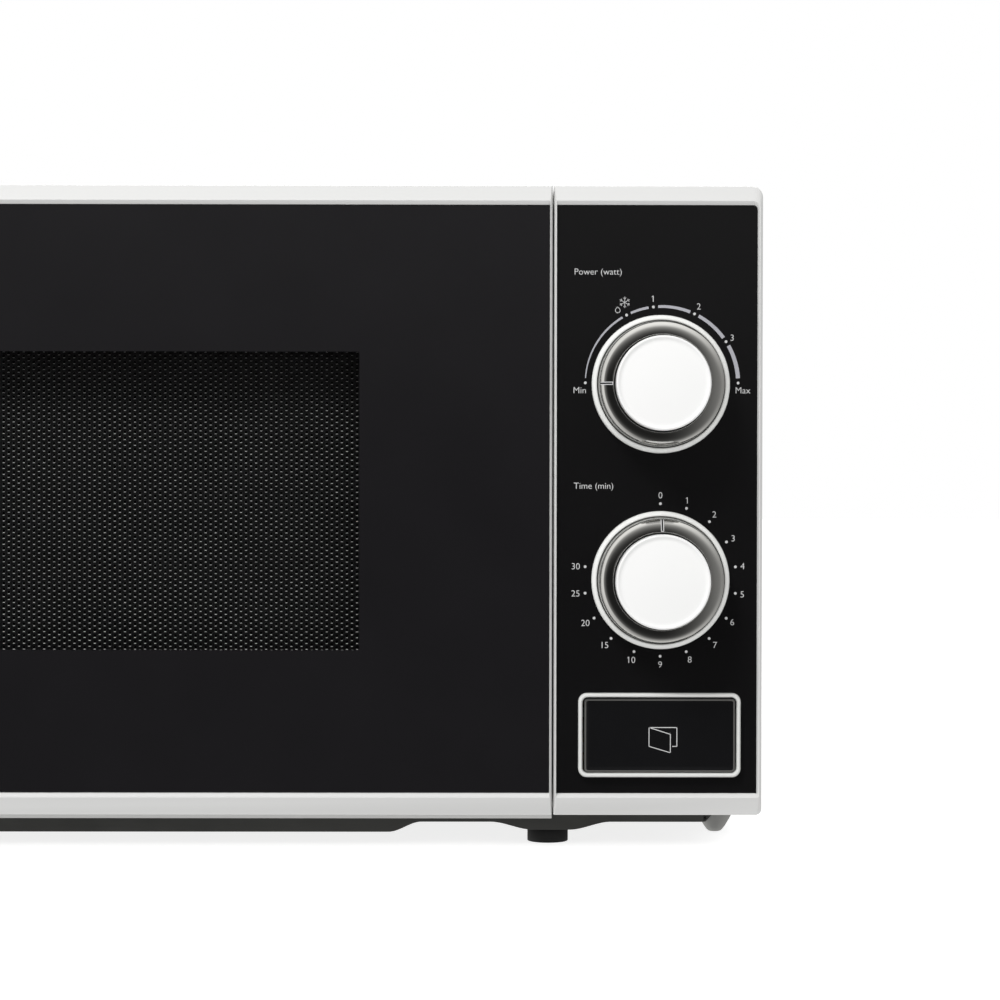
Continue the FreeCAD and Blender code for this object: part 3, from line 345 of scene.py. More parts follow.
def cutter(name, b):
    return b.done(name, ["gap"], None, smooth_deg=0)


def bake_modifiers(ob):
    bpy.context.view_layer.update()
    dg = bpy.context.evaluated_depsgraph_get()
    me = bpy.data.meshes.new_from_object(ob.evaluated_get(dg))
    ob.modifiers.clear()
    ob.data = me
    return ob


def bevelled(ob, width_mm, segments=2, angle=32):
    mod = ob.modifiers.new("edges", "BEVEL")
    mod.width = width_mm * MM
    mod.segments = segments
    mod.limit_method = "ANGLE"
    mod.angle_limit = math.radians(angle)
    mod.harden_normals = False
    bake_modifiers(ob)
    return finish_mesh(ob, 40)


# =============================================================================
# Camera, at the photograph's viewing angle
# =============================================================================
CAM = dict(pos=(117.9, -1245.53, 155.0), yaw=-0.00515, pitch=-0.01451, roll=0.0014, f=2779.9)


def camera():
    yaw, pitch, roll = CAM["yaw"], CAM["pitch"], CAM["roll"]
    right = Vector((math.cos(yaw), math.sin(yaw), 0))
    fwd = Vector((-math.sin(yaw), math.cos(yaw), 0))
    up = Vector((0, 0, 1))
    f2 = fwd * math.cos(pitch) + up * math.sin(pitch)
    u2 = up * math.cos(pitch) - fwd * math.sin(pitch)
    r = right * math.cos(roll) + u2 * math.sin(roll)
    u = u2 * math.cos(roll) - right * math.sin(roll)
    data = bpy.data.cameras.new("camera")
    data.sensor_width = 36
    data.lens = CAM["f"] / 1000 * 36
    data.clip_start = 0.01
    data.dof.use_dof = False
    ob = bpy.data.objects.new("camera", data)
    m = Matrix.Identity(4)
    for i, a in enumerate((r, u, -f2)):
        for j in range(3):
            m[j][i] = a[j]
    for j in range(3):
        m[j][3] = CAM["pos"][j] * MM
    ob.matrix_world = m
    bpy.context.scene.collection.objects.link(ob)
    bpy.context.scene.camera = ob


camera()

# =============================================================================
# Front frames, glass and fascia
# =============================================================================
W, TOP, Z0 = 226.0, 262.0, 17.0
FACE = -161.0
DX1, PX0 = 143.9, 144.5


def frame_sections(x0, x1, lw, rw, r_out, back, ridge=-162.25):
    """Front moulding: sloped outer rails, a ridge, a short inner lip down to the black face, and a hollow back.
    lw and rw are the left and right rail widths."""
    t, g = 7.7, 7.8

    def sec(il, ir, ib, it, r, y):
        return (x0 + il, x1 - ir, Z0 + ib, TOP - it, r, y)

    rr = tuple(max(0.25, q) for q in r_out)

    def shrink(d):
        return tuple(max(0.15, q - d) for q in rr)

    left_wide, right_wide = lw > 1.5, rw > 1.5

    # rail profile: (share of a wide side rail, share of a thin one, depth up the bottom rail, depth down the top rail, corner, depth)
    def rail(ws, ts, ib, it, d, y, thin_y=None):
        return sec(lw * (ws if left_wide else ts), rw * (ws if right_wide else ts), ib, it, shrink(d), y)

    return [
        sec(0, 0, 0, 0, rr, back),
        sec(0, 0, 0, 0, rr, -152.2),
        sec(0, 0, -0.95, 0, rr, -152.8),
        sec(0, 0, -0.95, 0, rr, -159.5),
        rail(0.05, 0.14, -0.83, 0.12, 0.1, -159.95),
        rail(0.18, 0.40, -0.45, 0.42, 0.4, -160.42),
        rail(0.45, 0.80, 5.75, 5.85, 1.4, ridge + 0.12),
        rail(0.55, 0.84, 6.0, 6.1, 1.6, ridge),
        rail(0.68, 0.88, 6.25, 6.35, 1.9, ridge + 0.08),
        rail(0.975, 0.95, g - 0.1, t - 0.05, 2.6, FACE + 0.05),
        sec(lw, rw, g, t, shrink(2.6), FACE + 0.4),
        sec(lw, rw, g, t, shrink(2.6), FACE + 3.0),
        sec(min(2.2, lw + 1.0), min(2.2, rw + 1.0) if rw > 1.5 else rw, 2.2, 2.2, shrink(1.5), FACE + 3.3),
        sec(min(2.2, lw + 1.0), min(2.2, rw + 1.0) if rw > 1.5 else rw, 2.2, 2.2, shrink(1.5), back),
    ]


KX, PZ, TZ = 186.1, 184.5, 108.1


def sheet_with_shaft_holes(b, x0, x1, y0, y1, z0, z1, r=9.0, h=12.0):
    """A flat sheet with a round clearance hole for each dial's shaft."""
    b.box(x0, KX - h, y0, y1, z0, z1)
    b.box(KX + h, x1, y0, y1, z0, z1)
    for za, zb in ((z0, TZ - h), (TZ + h, PZ - h), (PZ + h, z1)):
        b.box(KX - h, KX + h, y0, y1, za, zb)
    for z in (PZ, TZ):
        cell, hole = (KX - h, KX + h, z - h, z + h, 0.02), (KX - r, KX + r, z - r, z + r, r - 0.001)
        loft(b, [(*cell, y1), (*cell, y0), (*hole, y0), (*hole, y1)], n=10)


# --- control panel frame
b = Build()
loft(b, frame_sections(PX0, W, 1.15, 2.2, (0.4, 4.5, 2.4, 0.4), -128.25), n=6)
# inner wall behind the fascia, with the openings left to the fascia and bezel
b.box(PX0 + 1.2, W - 2.1, FACE + 1.25, FACE + 3.2, Z0 + 2.1, 32.3, c=0)
sheet_with_shaft_holes(b, PX0 + 1.2, W - 2.1, FACE + 1.25, FACE + 3.2, 62.5, TOP - 2.1)
b.box(PX0 + 1.2, 155.8, FACE + 1.25, FACE + 3.2, 32.3, 62.5, c=0)
b.box(216.2, W - 2.1, FACE + 1.25, FACE + 3.2, 32.3, 62.5, c=0)
for x, z in ((152, 20), (219.6, 20), (152, 250), (219.6, 250)):
    b.box(x - 3, x + 3, FACE + 3.2, -129, z - 2.5, z + 2.5, c=0.4)
for z in (38.6, 52.6):
    b.box(147.5, 162.5, -141, -139, z, z + 3.8, c=0.3)
    b.box(173.5, 223.5, -141, -139, z, z + 3.8, c=0.3)
panel_frame = b.done("control_panel_moulding", ["white"], "chassis", slot="frame_white")
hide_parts("control_panel_frame")

# --- fascia: a glossy black sheet with its two shaft holes and the button opening
b = Build()
fx0, fx1, fz0, fz1 = PX0 + 1.15, W - 2.2, Z0 + 7.8, TOP - 7.75
bx0, bx1, bz0, bz1 = 156.0, 215.95, 32.55, 62.2
sheet_with_shaft_holes(b, fx0, fx1, FACE, FACE + 1.2, bz1, fz1)
for q in ((fx0, fx1, fz0, bz0), (fx0, bx0, bz0, bz1), (bx1, fx1, bz0, bz1)):
    b.box(q[0], q[1], FACE, FACE + 1.2, q[2], q[3])
fascia = b.done("control_fascia_sheet", ["fascia"], "chassis", slot="fascia_black")
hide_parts("control_fascia")

# --- door frame moulding
b = Build()
loft(b, frame_sections(-W, DX1, 2.2, 1.1, (4.5, 0.4, 0.4, 2.4), -135.05), n=6)
# deeper top, bottom and right walls behind the hinge step
b.box(-218, DX1, -135.1, -131.1, TOP - 2.2, TOP - 0.02, c=0.15)
b.box(-218, DX1, -135.1, -131.1, Z0 + 0.02, Z0 + 2.2, c=0.15)
b.box(DX1 - 0.95, DX1, -135.1, -131.1, Z0 + 0.02, TOP - 0.02, c=0.15)
# hinge bosses with their bores
for z0, z1 in ((234.0, 246.5), (19.0, 30.0)):
    b.lathe((-217.0, -141.0), "z", [(3.05, z0), (3.05, z1), (6.4, z1), (6.9, z1 - 0.5), (6.9, z0 + 0.5), (6.4, z0)], seg=40)
    b.box(-224.0, -222.0, -147.5, -136.0, z0 + 1, z1 - 1, c=0.3)
    b.box(-223.0, -216.0, -157.6, -147.7, z0 + 1, z1 - 1, c=0.3)
# back flanges that close the frame round the inner door
b.box(-206.1, 129.4, -134.4, -132.8, 246.4, 259.9, c=0.4)
b.box(-219.2, -208.5, -134.4, -132.8, 32.5, 231.5, c=0.4)
# latch strip at the right, in three lengths between the hook slots
for z0, z1 in ((19.2, 81.8), (105.2, 175.8), (198.2, 259.6)):
    b.box(129.7, 143.4, -135.5, -133.5, z0, z1, c=0.3)
for x0, x1 in ((129.7, 130.4), (136.6, 143.4)):
    for z0, z1 in ((81.8, 105.2), (175.8, 198.2)):
        b.box(x0, x1, -135.5, -133.5, z0, z1)
door_frame = b.done("door_frame_moulding", ["white"], "door", slot="frame_white")
cb = Build()
cb.box(-228, -206.5, -151.8, -130, 247.05, 253.5)
cd = Build()
cd.box(-228, -219.5, -137.0, -130, 10, 270)
cc = Build()
cc.lathe((-217.0, -141.0), "z", [(0, 15.5), (3.06, 15.5), (3.06, 19.6), (0, 19.6)], seg=40)
slots_cut(door_frame, [cutter("cut_a", cb), cutter("cut_b", cc), cutter("cut_g", cd)])
finish_mesh(door_frame, 35)
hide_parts("door_outer_frame")

# --- door glass: black print round a clear, tinted window
gx0, gx1, gz0, gz1 = -W + 2.2, DX1 - 1.05, Z0 + 7.8, TOP - 7.75
wx0, wx1, wz0, wz1 = -150.0, 68.6, 80.5, 197.0
b = Build()
loft(b, [
    (gx0, gx1, gz0, gz1, 0.5, FACE + 0.25), (gx0 + 0.2, gx1 - 0.15, gz0 + 0.2, gz1 - 0.2, 0.5, FACE),
    (wx0, wx1, wz0, wz1, 0.8, FACE), (wx0, wx1, wz0, wz1, 0.8, FACE + 3.2), (gx0, gx1, gz0, gz1, 0.5, FACE + 3.2)], n=4)
glass = b.done("door_glass_black_print", ["black_glass"], "door", slot="door_black_glass")
b = Build()
loft(b, [(wx0 + 0.03, wx1 - 0.03, wz0 + 0.03, wz1 - 0.03, 0.8, FACE + 0.01), (wx0 + 0.03, wx1 - 0.03, wz0 + 0.03, wz1 - 0.03, 0.8, FACE + 3.15)], closed=False, cap0=True, cap1=True, n=4)
window = b.done("door_glass_window", ["window"], "door", slot="door_black_glass")
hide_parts("door_glass")


# --- perforated screen: hexagonal lattice of holes with real walls
def perforated(name, x0, x1, z0, z1, y_front, thick, mats, body, pitch=2.3, hole=0.62, burr=0.26):
    R = pitch / math.sqrt(3)
    v, f, mi, index = [], [], [], {}

    def vert(x, y, z):
        k = (round(x * 100), round(y * 100), round(z * 100))
        if k not in index:
            index[k] = len(v)
            v.append((x, y, z))
        return index[k]

    cols = int((x1 - x0) / (1.5 * R)) + 1
    rows = int((z1 - z0) / pitch) + 1
    for c in range(cols):
        cx = x0 + 1.5 * R * c
        for q in range(rows):
            cz = z0 + pitch * q + (pitch / 2 if c % 2 else 0)
            out_f = [vert(cx + R * math.cos(math.radians(60 * i)), y_front, cz + R * math.sin(math.radians(60 * i))) for i in range(6)]
            out_b = [vert(cx + R * math.cos(math.radians(60 * i)), y_front + thick, cz + R * math.sin(math.radians(60 * i))) for i in range(6)]
            base = len(v)
            for y, hr in ((y_front, hole + burr), (y_front + 0.32, hole), (y_front + thick, hole)):
                for i in range(6):
                    a = math.radians(60 * i)
                    v.append((cx + hr * math.cos(a), y, cz + hr * math.sin(a)))
            for i in range(6):
                j = (i + 1) % 6
                f.append((out_f[i], out_f[j], base + j, base + i))
                f.append((base + i, base + j, base + 6 + j, base + 6 + i))
                f.append((base + 6 + i, base + 6 + j, base + 12 + j, base + 12 + i))
                f.append((base + 12 + i, base + 12 + j, out_b[j], out_b[i]))
                mi += [0, 1 if i == 4 else 0, 2, 0]  # painted highlight: a bright finish on the lower lip of each hole only, where the light from above catches
    return make(name, v, f, mats, body, face_mat=mi, smooth_deg=0, fix=False)


screen = perforated("door_screen_perforated", wx0 - 2.0, wx1 + 2.4, wz0 - 2.2, wz1 + 1.6, -147.75, 0.7, ["screen", "screen_edge", "screen_wall"], "door")
b = Build()
loft(b, [(wx0 - 8, wx1 + 8, wz0 - 8, wz1 + 8, 1.0, -148.3), (wx0 - 1.0, wx1 + 1.0, wz0 - 1.0, wz1 + 1.0, 0.8, -148.3),
         (wx0 - 1.0, wx1 + 1.0, wz0 - 1.0, wz1 + 1.0, 0.8, -147.9), (wx0 - 8, wx1 + 8, wz0 - 8, wz1 + 8, 1.0, -147.9)], n=4)
screen_edge = b.done("door_screen_border", ["door_steel"], "door", slot="door_steel")
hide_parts("door_screen")

# =============================================================================
# Dials
# =============================================================================

# The dome's front, as (radius, height above the face): its slope falls from steep at the wall to almost flat at the cap
DOME = [(24.13, 10.25), (24.06, 10.5)]
_r, _d = 23.95, 10.66
for _k in range(27):
    DOME.append((_r, _d))
    _d += math.tan(math.radians(6 + 44 * (1 - (_k + 0.5) / 27) ** 0.9)) * (23.95 - 19.1) / 26
    _r -= (23.95 - 19.1) / 26
DOME_Y = FACE - DOME[-1][1]
DOME_EDGE = (DOME[0][0], FACE - DOME[0][1])


def dial(tag, z, body):
    ring = Build()
    ring.lathe((KX, z), "y", [
        (26.95, FACE - 0.02), (26.95, FACE - 1.3), (26.88, FACE - 1.75), (26.65, FACE - 2.25), (26.3, FACE - 2.65), (25.85, FACE - 3.0), (25.5, FACE - 3.25),
        (25.2, FACE - 3.32), (24.98, FACE - 3.2), (24.88, FACE - 2.9), (24.88, FACE - 0.02)], seg=160)
    r_ob = ring.done(tag + "_dial_ring", ["silver"], "chassis", smooth_deg=50, slot="dial_chrome")
    # The dial well and the ring filling the gap between cap and dome are matte black: painted shade for those gaps.
    well = Build()
    well.lathe((KX, z), "y", [(24.85, FACE - 0.05), (24.85, FACE - 0.25), (8.8, FACE - 0.25), (8.8, FACE - 0.05)], seg=96)
    w_ob = well.done(tag + "_dial_well", ["gap"], "chassis", slot="fascia_black")
    dome = Build()
    P = []
    P += [(r_, FACE - d_) for r_, d_ in DOME]
    P += [(18.85, DOME_Y + 0.3), (18.8, DOME_Y + 0.9), (18.8, FACE - 9.5), (21.8, FACE - 5.0), (22.8, FACE - 1.2)]
    dome.lathe((KX, z), "y", P, seg=180, closed=False)
    dome.lathe((KX, z), "y", [(22.8, FACE - 1.2), (24.4, FACE - 0.95), (24.72, FACE - 1.3), (24.62, FACE - 3.2), (24.45, FACE - 5.6), (24.28, FACE - 8.2), DOME_EDGE], seg=180, closed=False, mat=1)
    dome.lathe((KX, z), "y", [(3.02, FACE - 1), (7, FACE - 1), (7, FACE - 9.4), (18.85, FACE - 9.6), (18.85, FACE - 10.2), (3.02, FACE - 10.2)], seg=64)
    gap_shade_ring = Build()
    gap_shade_ring.lathe((KX, z), "y", [(18.32, FACE - 12.3), (18.32, DOME_Y + 0.75), (18.78, DOME_Y + 0.75), (18.78, FACE - 12.3)], seg=120)
    gap_shade_ring.done(tag + "_knob_gap_shade_ring", ["gap"], body, smooth_deg=50, slot="fascia_black")
    d_ob = dome.done(tag + "_knob_dome_chromed", ["chrome", "dome_wall"], body, smooth_deg=50, slot="dial_chrome")
    cap = Build()
    cap.lathe((KX, z), "y", [
        (0, FACE - 10.4), (18.0, FACE - 10.4), (18.2, FACE - 10.7), (18.3, FACE - 19.3), (18.28, FACE - 19.85), (18.2, FACE - 20.28), (18.05, FACE - 20.6), (17.86, FACE - 20.8),
        (17.66, FACE - 20.88), (17.46, FACE - 20.85), (17.2, FACE - 20.70), (16.9, FACE - 20.50), (16.6, FACE - 20.36), (16.2, FACE - 20.27)]
        + [(r, FACE - 20.98 + 0.71 * (r / 16.2) ** 2) for r in (15.4, 14.2, 12.8, 11.2, 9.4, 7.4, 5.2, 2.6, 0)], seg=160, closed=False)
    c_ob = cap.done(tag + "_knob_cap_pale", ["cap"], body, smooth_deg=60, slot="frame_white")
    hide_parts(tag + "_knob_dome")
    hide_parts(tag + "_knob_cap")
    return r_ob, d_ob, c_ob



ring_a, dome_a, cap_a = dial("power", PZ, "power_knob")
ring_b, dome_b, cap_b = dial("timer", TZ, "timer_knob")
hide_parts("dial_trim_rings")


# Pointers: a raised outlined bar on each dome, with a dark middle. The power dial rests at nine o'clock, the timer at twelve.
def dome_y(r):
    for (ra, da), (rb_, db) in zip(DOME, DOME[1:]):
        if rb_ <= r <= ra:
            return FACE - (da + (db - da) * (ra - r) / (ra - rb_))
    return FACE - (DOME[0][1] if r > DOME[0][0] else DOME[-1][1])


def pointer(tag, z, body, clock_deg):
    b = Build()
    a = math.radians(90 - clock_deg)
    ux, uz = math.cos(a), math.sin(a)
    wx, wz = -uz, ux

    def strip(r0, r1, h0, h1, lift, mat, n=10):
        v, f = [], []
        for i in range(n + 1):
            r = r0 + (r1 - r0) * i / n
            y = dome_y(min(23.9, max(19.2, r)))
            for h in (h0, h1):
                for dy in (0.06, -lift):
                    v.append((KX + ux * r + wx * h, y + dy, z + uz * r + wz * h))
        for i in range(n):
            k, q = 4 * i, 4 * i + 4
            f += [(k + 1, k + 3, q + 3, q + 1), (k, k + 1, q + 1, q), (k + 3, k + 2, q + 2, q + 3), (k + 2, k, q, q + 2)]
        f += [(0, 2, 3, 1), (4 * n + 1, 4 * n + 3, 4 * n + 2, 4 * n)]
        b.add(v, f, mat)

    strip(19.2, 23.9, -0.60, -0.30, 0.14, 0, 16)
    strip(19.2, 23.9, 0.30, 0.60, 0.14, 0, 16)
    strip(19.2, 19.5, -0.60, 0.60, 0.145, 0, 3)
    strip(19.45, 23.9, -0.30, 0.30, 0.03, 1, 16)
    return b.done(tag + "_pointer", ["print", "gap"], body, smooth_deg=0, slot="frame_white")


pointer("power", PZ, "power_knob", -90)
pointer("timer", TZ, "timer_knob", 0)

# =============================================================================
# Printing on the fascia: dots, arcs, numbers and two simple symbols
# =============================================================================
INK = Build()


def dot(x, z, r, mat=0, seg=20):
    v = [(x + r * math.cos(2 * math.pi * i / seg), FACE - 0.05, z + r * math.sin(2 * math.pi * i / seg)) for i in range(seg)]
    w = [(p[0], FACE - 0.004, p[2]) for p in v]
    INK.add(v + w, [tuple(range(seg)), tuple(range(2 * seg - 1, seg - 1, -1))] + [(i, (i + 1) % seg, seg + (i + 1) % seg, seg + i) for i in range(seg)], mat)


def stroke(x0, z0, x1, z1, w, mat=0, y=None, store=None):
    y = FACE if y is None else y
    d = math.hypot(x1 - x0, z1 - z0)
    nx, nz = -(z1 - z0) / d * w / 2, (x1 - x0) / d * w / 2
    q = [(x0 + nx, z0 + nz), (x0 - nx, z0 - nz), (x1 - nx, z1 - nz), (x1 + nx, z1 + nz)]
    v = [(a, y - 0.05, c) for a, c in q] + [(a, y - 0.004, c) for a, c in q]
    (store or INK).add(v, [(0, 1, 2, 3), (7, 6, 5, 4), (0, 4, 5, 1), (1, 5, 6, 2), (2, 6, 7, 3), (3, 7, 4, 0)], mat)


def arc(cx, cz, r, a0, a1, w0, w1, mat=1, n=24):
    """An arc whose outer width grows; angles clockwise from the top, in degrees."""
    v, f = [], []
    for i in range(n + 1):
        t = i / n
        a = math.radians(a0 + (a1 - a0) * t)
        w = w0 + (w1 - w0) * t
        for rad in (r - w / 2, r + w / 2):
            for y in (FACE - 0.05, FACE - 0.004):
                v.append((cx + rad * math.sin(a), y, cz + rad * math.cos(a)))
    for i in range(n):
        k, q = 4 * i, 4 * i + 4
        f += [(k, k + 2, q + 2, q), (k + 1, q + 1, q + 3, k + 3), (k, q, q + 1, k + 1), (k + 2, k + 3, q + 3, q + 2)]
    f += [(0, 1, 3, 2), (4 * n, 4 * n + 2, 4 * n + 3, 4 * n + 1)]
    INK.add(v, f, mat)


def label(text, x, z, size_mm, align="CENTER", mat=0):
    """Raised lettering in the built-in plain face, centred on z."""
    cu = bpy.data.curves.new("ink", "FONT")
    cu.body = text
    cu.size = size_mm
    cu.align_x = align
    cu.resolution_u = 4
    cu.extrude = 0.02
    cu.offset = -0.028 * size_mm / 3.5
    ob = bpy.data.objects.new("ink", cu)
    bpy.context.scene.collection.objects.link(ob)
    bpy.context.view_layer.update()
    me = bpy.data.meshes.new_from_object(ob.evaluated_get(bpy.context.evaluated_depsgraph_get()))
    ys = [p.co.y for p in me.vertices]
    mid = (min(ys) + max(ys)) / 2
    INK.add([(x + p.co.x, FACE - 0.028 - p.co.z, z + p.co.y - mid) for p in me.vertices], [tuple(q.vertices) for q in me.polygons], mat)
    if text == "1" or text == "10":  # the plain face's 1 has no flag
        left = min(p.co.x for p in me.vertices)
        top = max(ys) - mid
        stroke(x + left - 0.42, z + top - 0.52, x + left + 0.14, z + top - 0.10, 0.24, mat)
    bpy.data.objects.remove(ob)
    bpy.data.curves.remove(cu)
    bpy.data.meshes.remove(me)


PX = 2.566  # picture scale on the fascia, used to place print read off as offsets


def at(px, py, cx, cz, x0, z0):
    return x0 + (px - cx) / PX, z0 - (py - cz) / PX


R0 = 29.8
PXX, PZZ = KX + 0.4, PZ + 0.5  # centre of the upper scale as it sits in the picture
for a in (-90, -27.5, -6.4, 25.3, 57.2, 90):
    dot(PXX + R0 * math.sin(math.radians(a)), PZZ + R0 * math.cos(math.radians(a)), 0.55)
for a0, a1, w0, w1 in ((-86.4, -31.0, 0.42, 0.85), (-24.0, -10.0, 0.9, 1.0), (-2.8, 21.8, 1.05, 1.2), (28.8, 53.8, 1.25, 1.4), (60.7, 86.4, 1.45, 1.6)):
    arc(PXX, PZZ, R0, a0, a1, w0, w1)
for text, px, py in (("1", 653.4, 299.3), ("2", 699, 306.9), ("3", 732.5, 338.1), ("Min", 580, 390.8), ("Max", 743.2, 390.8)):
    x, z = at(px, py, 662.1, 383.5, PXX, PZZ)
    label(text, x, z, 3.55)
label("Power (watt)", 152.2, at(0, 273.2, 0, 383.5, 0, PZZ)[1], 3.5, "LEFT")
label("Time (min)", 152.2, at(0, 487.0, 0, 580.4, 0, TZ)[1], 3.5, "LEFT")
# snowflake and drop
sx, sz = at(624.9, 302.9, 662.1, 383.5, PXX, PZZ)
for i in range(6):
    a = math.radians(60 * i + 30)
    ex, ez = math.cos(a), math.sin(a)
    stroke(sx, sz, sx + 2.2 * ex, sz + 2.2 * ez, 0.20)
    for s in (1, -1):
        a2 = a + s * math.radians(42)
        stroke(sx + 1.2 * ex, sz + 1.2 * ez, sx + 1.2 * ex + 0.85 * math.cos(a2), sz + 1.2 * ez + 0.85 * math.sin(a2), 0.17)
dx, dz = at(617.9, 311.0, 662.1, 383.5, PXX, PZZ)
prev = None
for i in range(17):
    t = i / 16 * 2 * math.pi
    rr = 0.95 * (1 + 0.45 * max(0.0, math.cos(t)) ** 6)
    p = (dx + rr * math.sin(t) * (1 - 0.5 * max(0.0, math.cos(t)) ** 4), dz + rr * math.cos(t))
    if prev:
        stroke(prev[0], prev[1], p[0], p[1], 0.21)
    prev = p
# timer scale
steps = ["0", "1", "2", "3", "4", "5", "6", "7", "8", "9", "10", "15", "20", "25", "30"]
centres = [(660, 495.5), (687, 500.6), (714, 514.6), (733, 538.5), (742.5, 566.4), (742.2, 594.7), (732.2, 622.6), (714.9, 645.5), (689.7, 660.1), (660, 665.1),
           (630.9, 660.5), (604.1, 645.7), (585, 623.5), (575.2, 593.9), (575.2, 566.7)]
for i, (text, (px, py)) in enumerate(zip(steps, centres)):
    a = math.radians(20 * i)
    dot(KX + R0 * math.sin(a), TZ + R0 * math.cos(a), 0.55)
    x, z = at(px, py, 660.0, 580.4, KX, TZ)
    label(text, x, z, 3.55)
INK.done("dial_print", ["print", "print_grey"], "chassis", smooth_deg=0, slot="fascia_black", weld=False)

# =============================================================================
# Door button and its bezel
# =============================================================================
BX, BZ = 186.0, 47.6
b = Build()
o = (BX - 31.9, BX + 31.6, BZ - 16.55, BZ + 16.4)


def bz(d, e=None):
    e = d if e is None else e
    return (o[0] + d, o[1] - d, o[2] + e, o[3] - e)


loft(b, [(*o, 3.4, FACE - 0.02), (*o, 3.4, FACE - 0.85), (*bz(0.13), 3.3, FACE - 1.42), (*bz(0.38), 3.15, FACE - 1.95), (*bz(0.66), 2.95, FACE - 2.25), (*bz(0.92), 2.75, FACE - 2.33),
         (*bz(1.18), 2.55, FACE - 2.22), (*bz(1.4), 2.35, FACE - 1.9), (*bz(1.58), 2.2, FACE - 1.4), (*bz(1.7), 2.1, FACE - 0.85), (*bz(1.73), 2.05, FACE - 0.5)], closed=False, n=10, mat=0)
# The bezel's inner wall takes the dark gap finish: painted shade for the groove round the button.
loft(b, [(*bz(1.73), 2.05, FACE - 0.5), (*bz(1.78), 2.0, FACE - 0.02), (*o, 3.4, FACE - 0.02)], closed=False, n=10, mat=1)
bezel = b.done("button_bezel_ring", ["bezel", "gap"], "chassis", smooth_deg=50, slot="bezel_silver")
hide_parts("button_bezel")
b = Build()
q = (156.45, 215.5, 33.0, 61.75)


def ins(d):
    return (q[0] + d, q[1] - d, q[2] + d, q[3] - d)


# The rim faces (material 1) take the lighter grey: a painted highlight along the button's edge.
loft(b, [(*ins(2.4), 0.5, FACE + 8), (*q, 1.2, FACE + 8), (*q, 1.2, FACE - 0.50), (*ins(0.22), 1.15, FACE - 0.80), (*ins(0.42), 1.05, FACE - 0.98), (*ins(0.62), 0.95, FACE - 1.06), (*ins(0.8), 0.85, FACE - 1.04),
         (*ins(1.0), 0.8, FACE - 0.93), (*ins(1.15), 0.75, FACE - 0.88), (*ins(2.4), 0.5, FACE - 0.86)], closed=False, cap1=True, n=6, mats=[0, 0, 1, 1, 1, 1, 0, 0, 0])
b.box(165, 171, FACE + 0.5, -138.95, 43.0, 48.5, c=0.3)
b.lathe((200, 47.6), "y", [(0.01, FACE + 0.5), (3, FACE + 0.5), (3, FACE + 8), (2.4, FACE + 8.5), (0.01, FACE + 8.5)], seg=24)
button = b.done("door_button_cap", ["button", "button_edge"], "button", smooth_deg=50, slot="button_black")
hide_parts("door_button")
icon = Build()


def ixy(px, py):
    return 186.72 + (px - 661.6) / PX * 0.93, 45.9 - (py - 739.2) / PX * 0.97


def poly(points, w, closed=False):
    pts = [ixy(*p) for p in points]
    for (xa, za), (xb, zb) in zip(pts, pts[1:] + ([pts[0]] if closed else [])):
        stroke(xa, za, xb, zb, w, y=FACE - 0.9, store=icon)


poly([(648, 727), (648, 746.5), (671, 753), (671, 734)], 0.30, closed=True)
poly([(648, 727), (678, 727), (678, 746.5), (673, 746.5)], 0.30)
icon.done("open_door_symbol", ["print"], "button", smooth_deg=0, slot="button_black", weld=False)

# =============================================================================
# Cabinet, rear, underside
# =============================================================================
CH, CT, CB = 225.2, 261.2, 12.0
b = Build()
t, rb, lip = 0.7, 3.2, 9.0


def wrap_profile():
    outer, inner = [], []
    pts = [(-CH + lip, CB), (-CH + 1.2, CB)]
    path_out = [(-CH + lip, CB)]
    path_in = [(-CH + lip, CB + t)]

    def corner(cx, cz, r, a0, a1, n=6):
        for k in range(n + 1):
            a = math.radians(a0 + (a1 - a0) * k / n)
            path_out.append((cx + r * math.cos(a), cz + r * math.sin(a)))
            path_in.append((cx + max(0.25, r - t) * math.cos(a), cz + max(0.25, r - t) * math.sin(a)))

    corner(-CH + 1.4, CB + 1.4, 1.4, 270, 180)
    corner(-CH + rb, CT - rb, rb, 180, 90)
    corner(CH - rb, CT - rb, rb, 90, 0)
    corner(CH - 1.4, CB + 1.4, 1.4, 0, -90)
    path_out.append((CH - lip, CB))
    path_in.append((CH - lip, CB + t))
    return path_out + path_in[::-1]


prof = wrap_profile()
n = len(prof)
y0, y1 = -127.25, 173.7
v = [(x, y0, z) for x, z in prof] + [(x, y1, z) for x, z in prof]
h = n // 2
f = [(i, (i + 1) % n, n + (i + 1) % n, n + i) for i in range(n)]
f += [(i, i + 1, n - 2 - i, n - 1 - i) for i in range(h - 1)]
f += [(n + n - 1 - i, n + n - 2 - i, n + i + 1, n + i) for i in range(h - 1)]
b.add(v, f)
cabinet = b.done("cabinet_shell", ["cabinet"], "chassis", smooth_deg=40, slot="cabinet_white")
cut1 = Build()
for s in (1, -1):
    for r in range(14):
        for c in range(3):
            u0 = 60 + 36 * c
            w0 = 60 + 9 * r
            lo, hi = (CH - 4, CH + 3) if s > 0 else (-CH - 3, -CH + 4)
            capsule(cut1, "x", lo, hi, u0, u0 + 26, w0, w0 + 3.2)
slots_cut(cabinet, [cutter("cut_c", cut1)])
finish_mesh(cabinet, 40)
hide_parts("outer_cabinet")

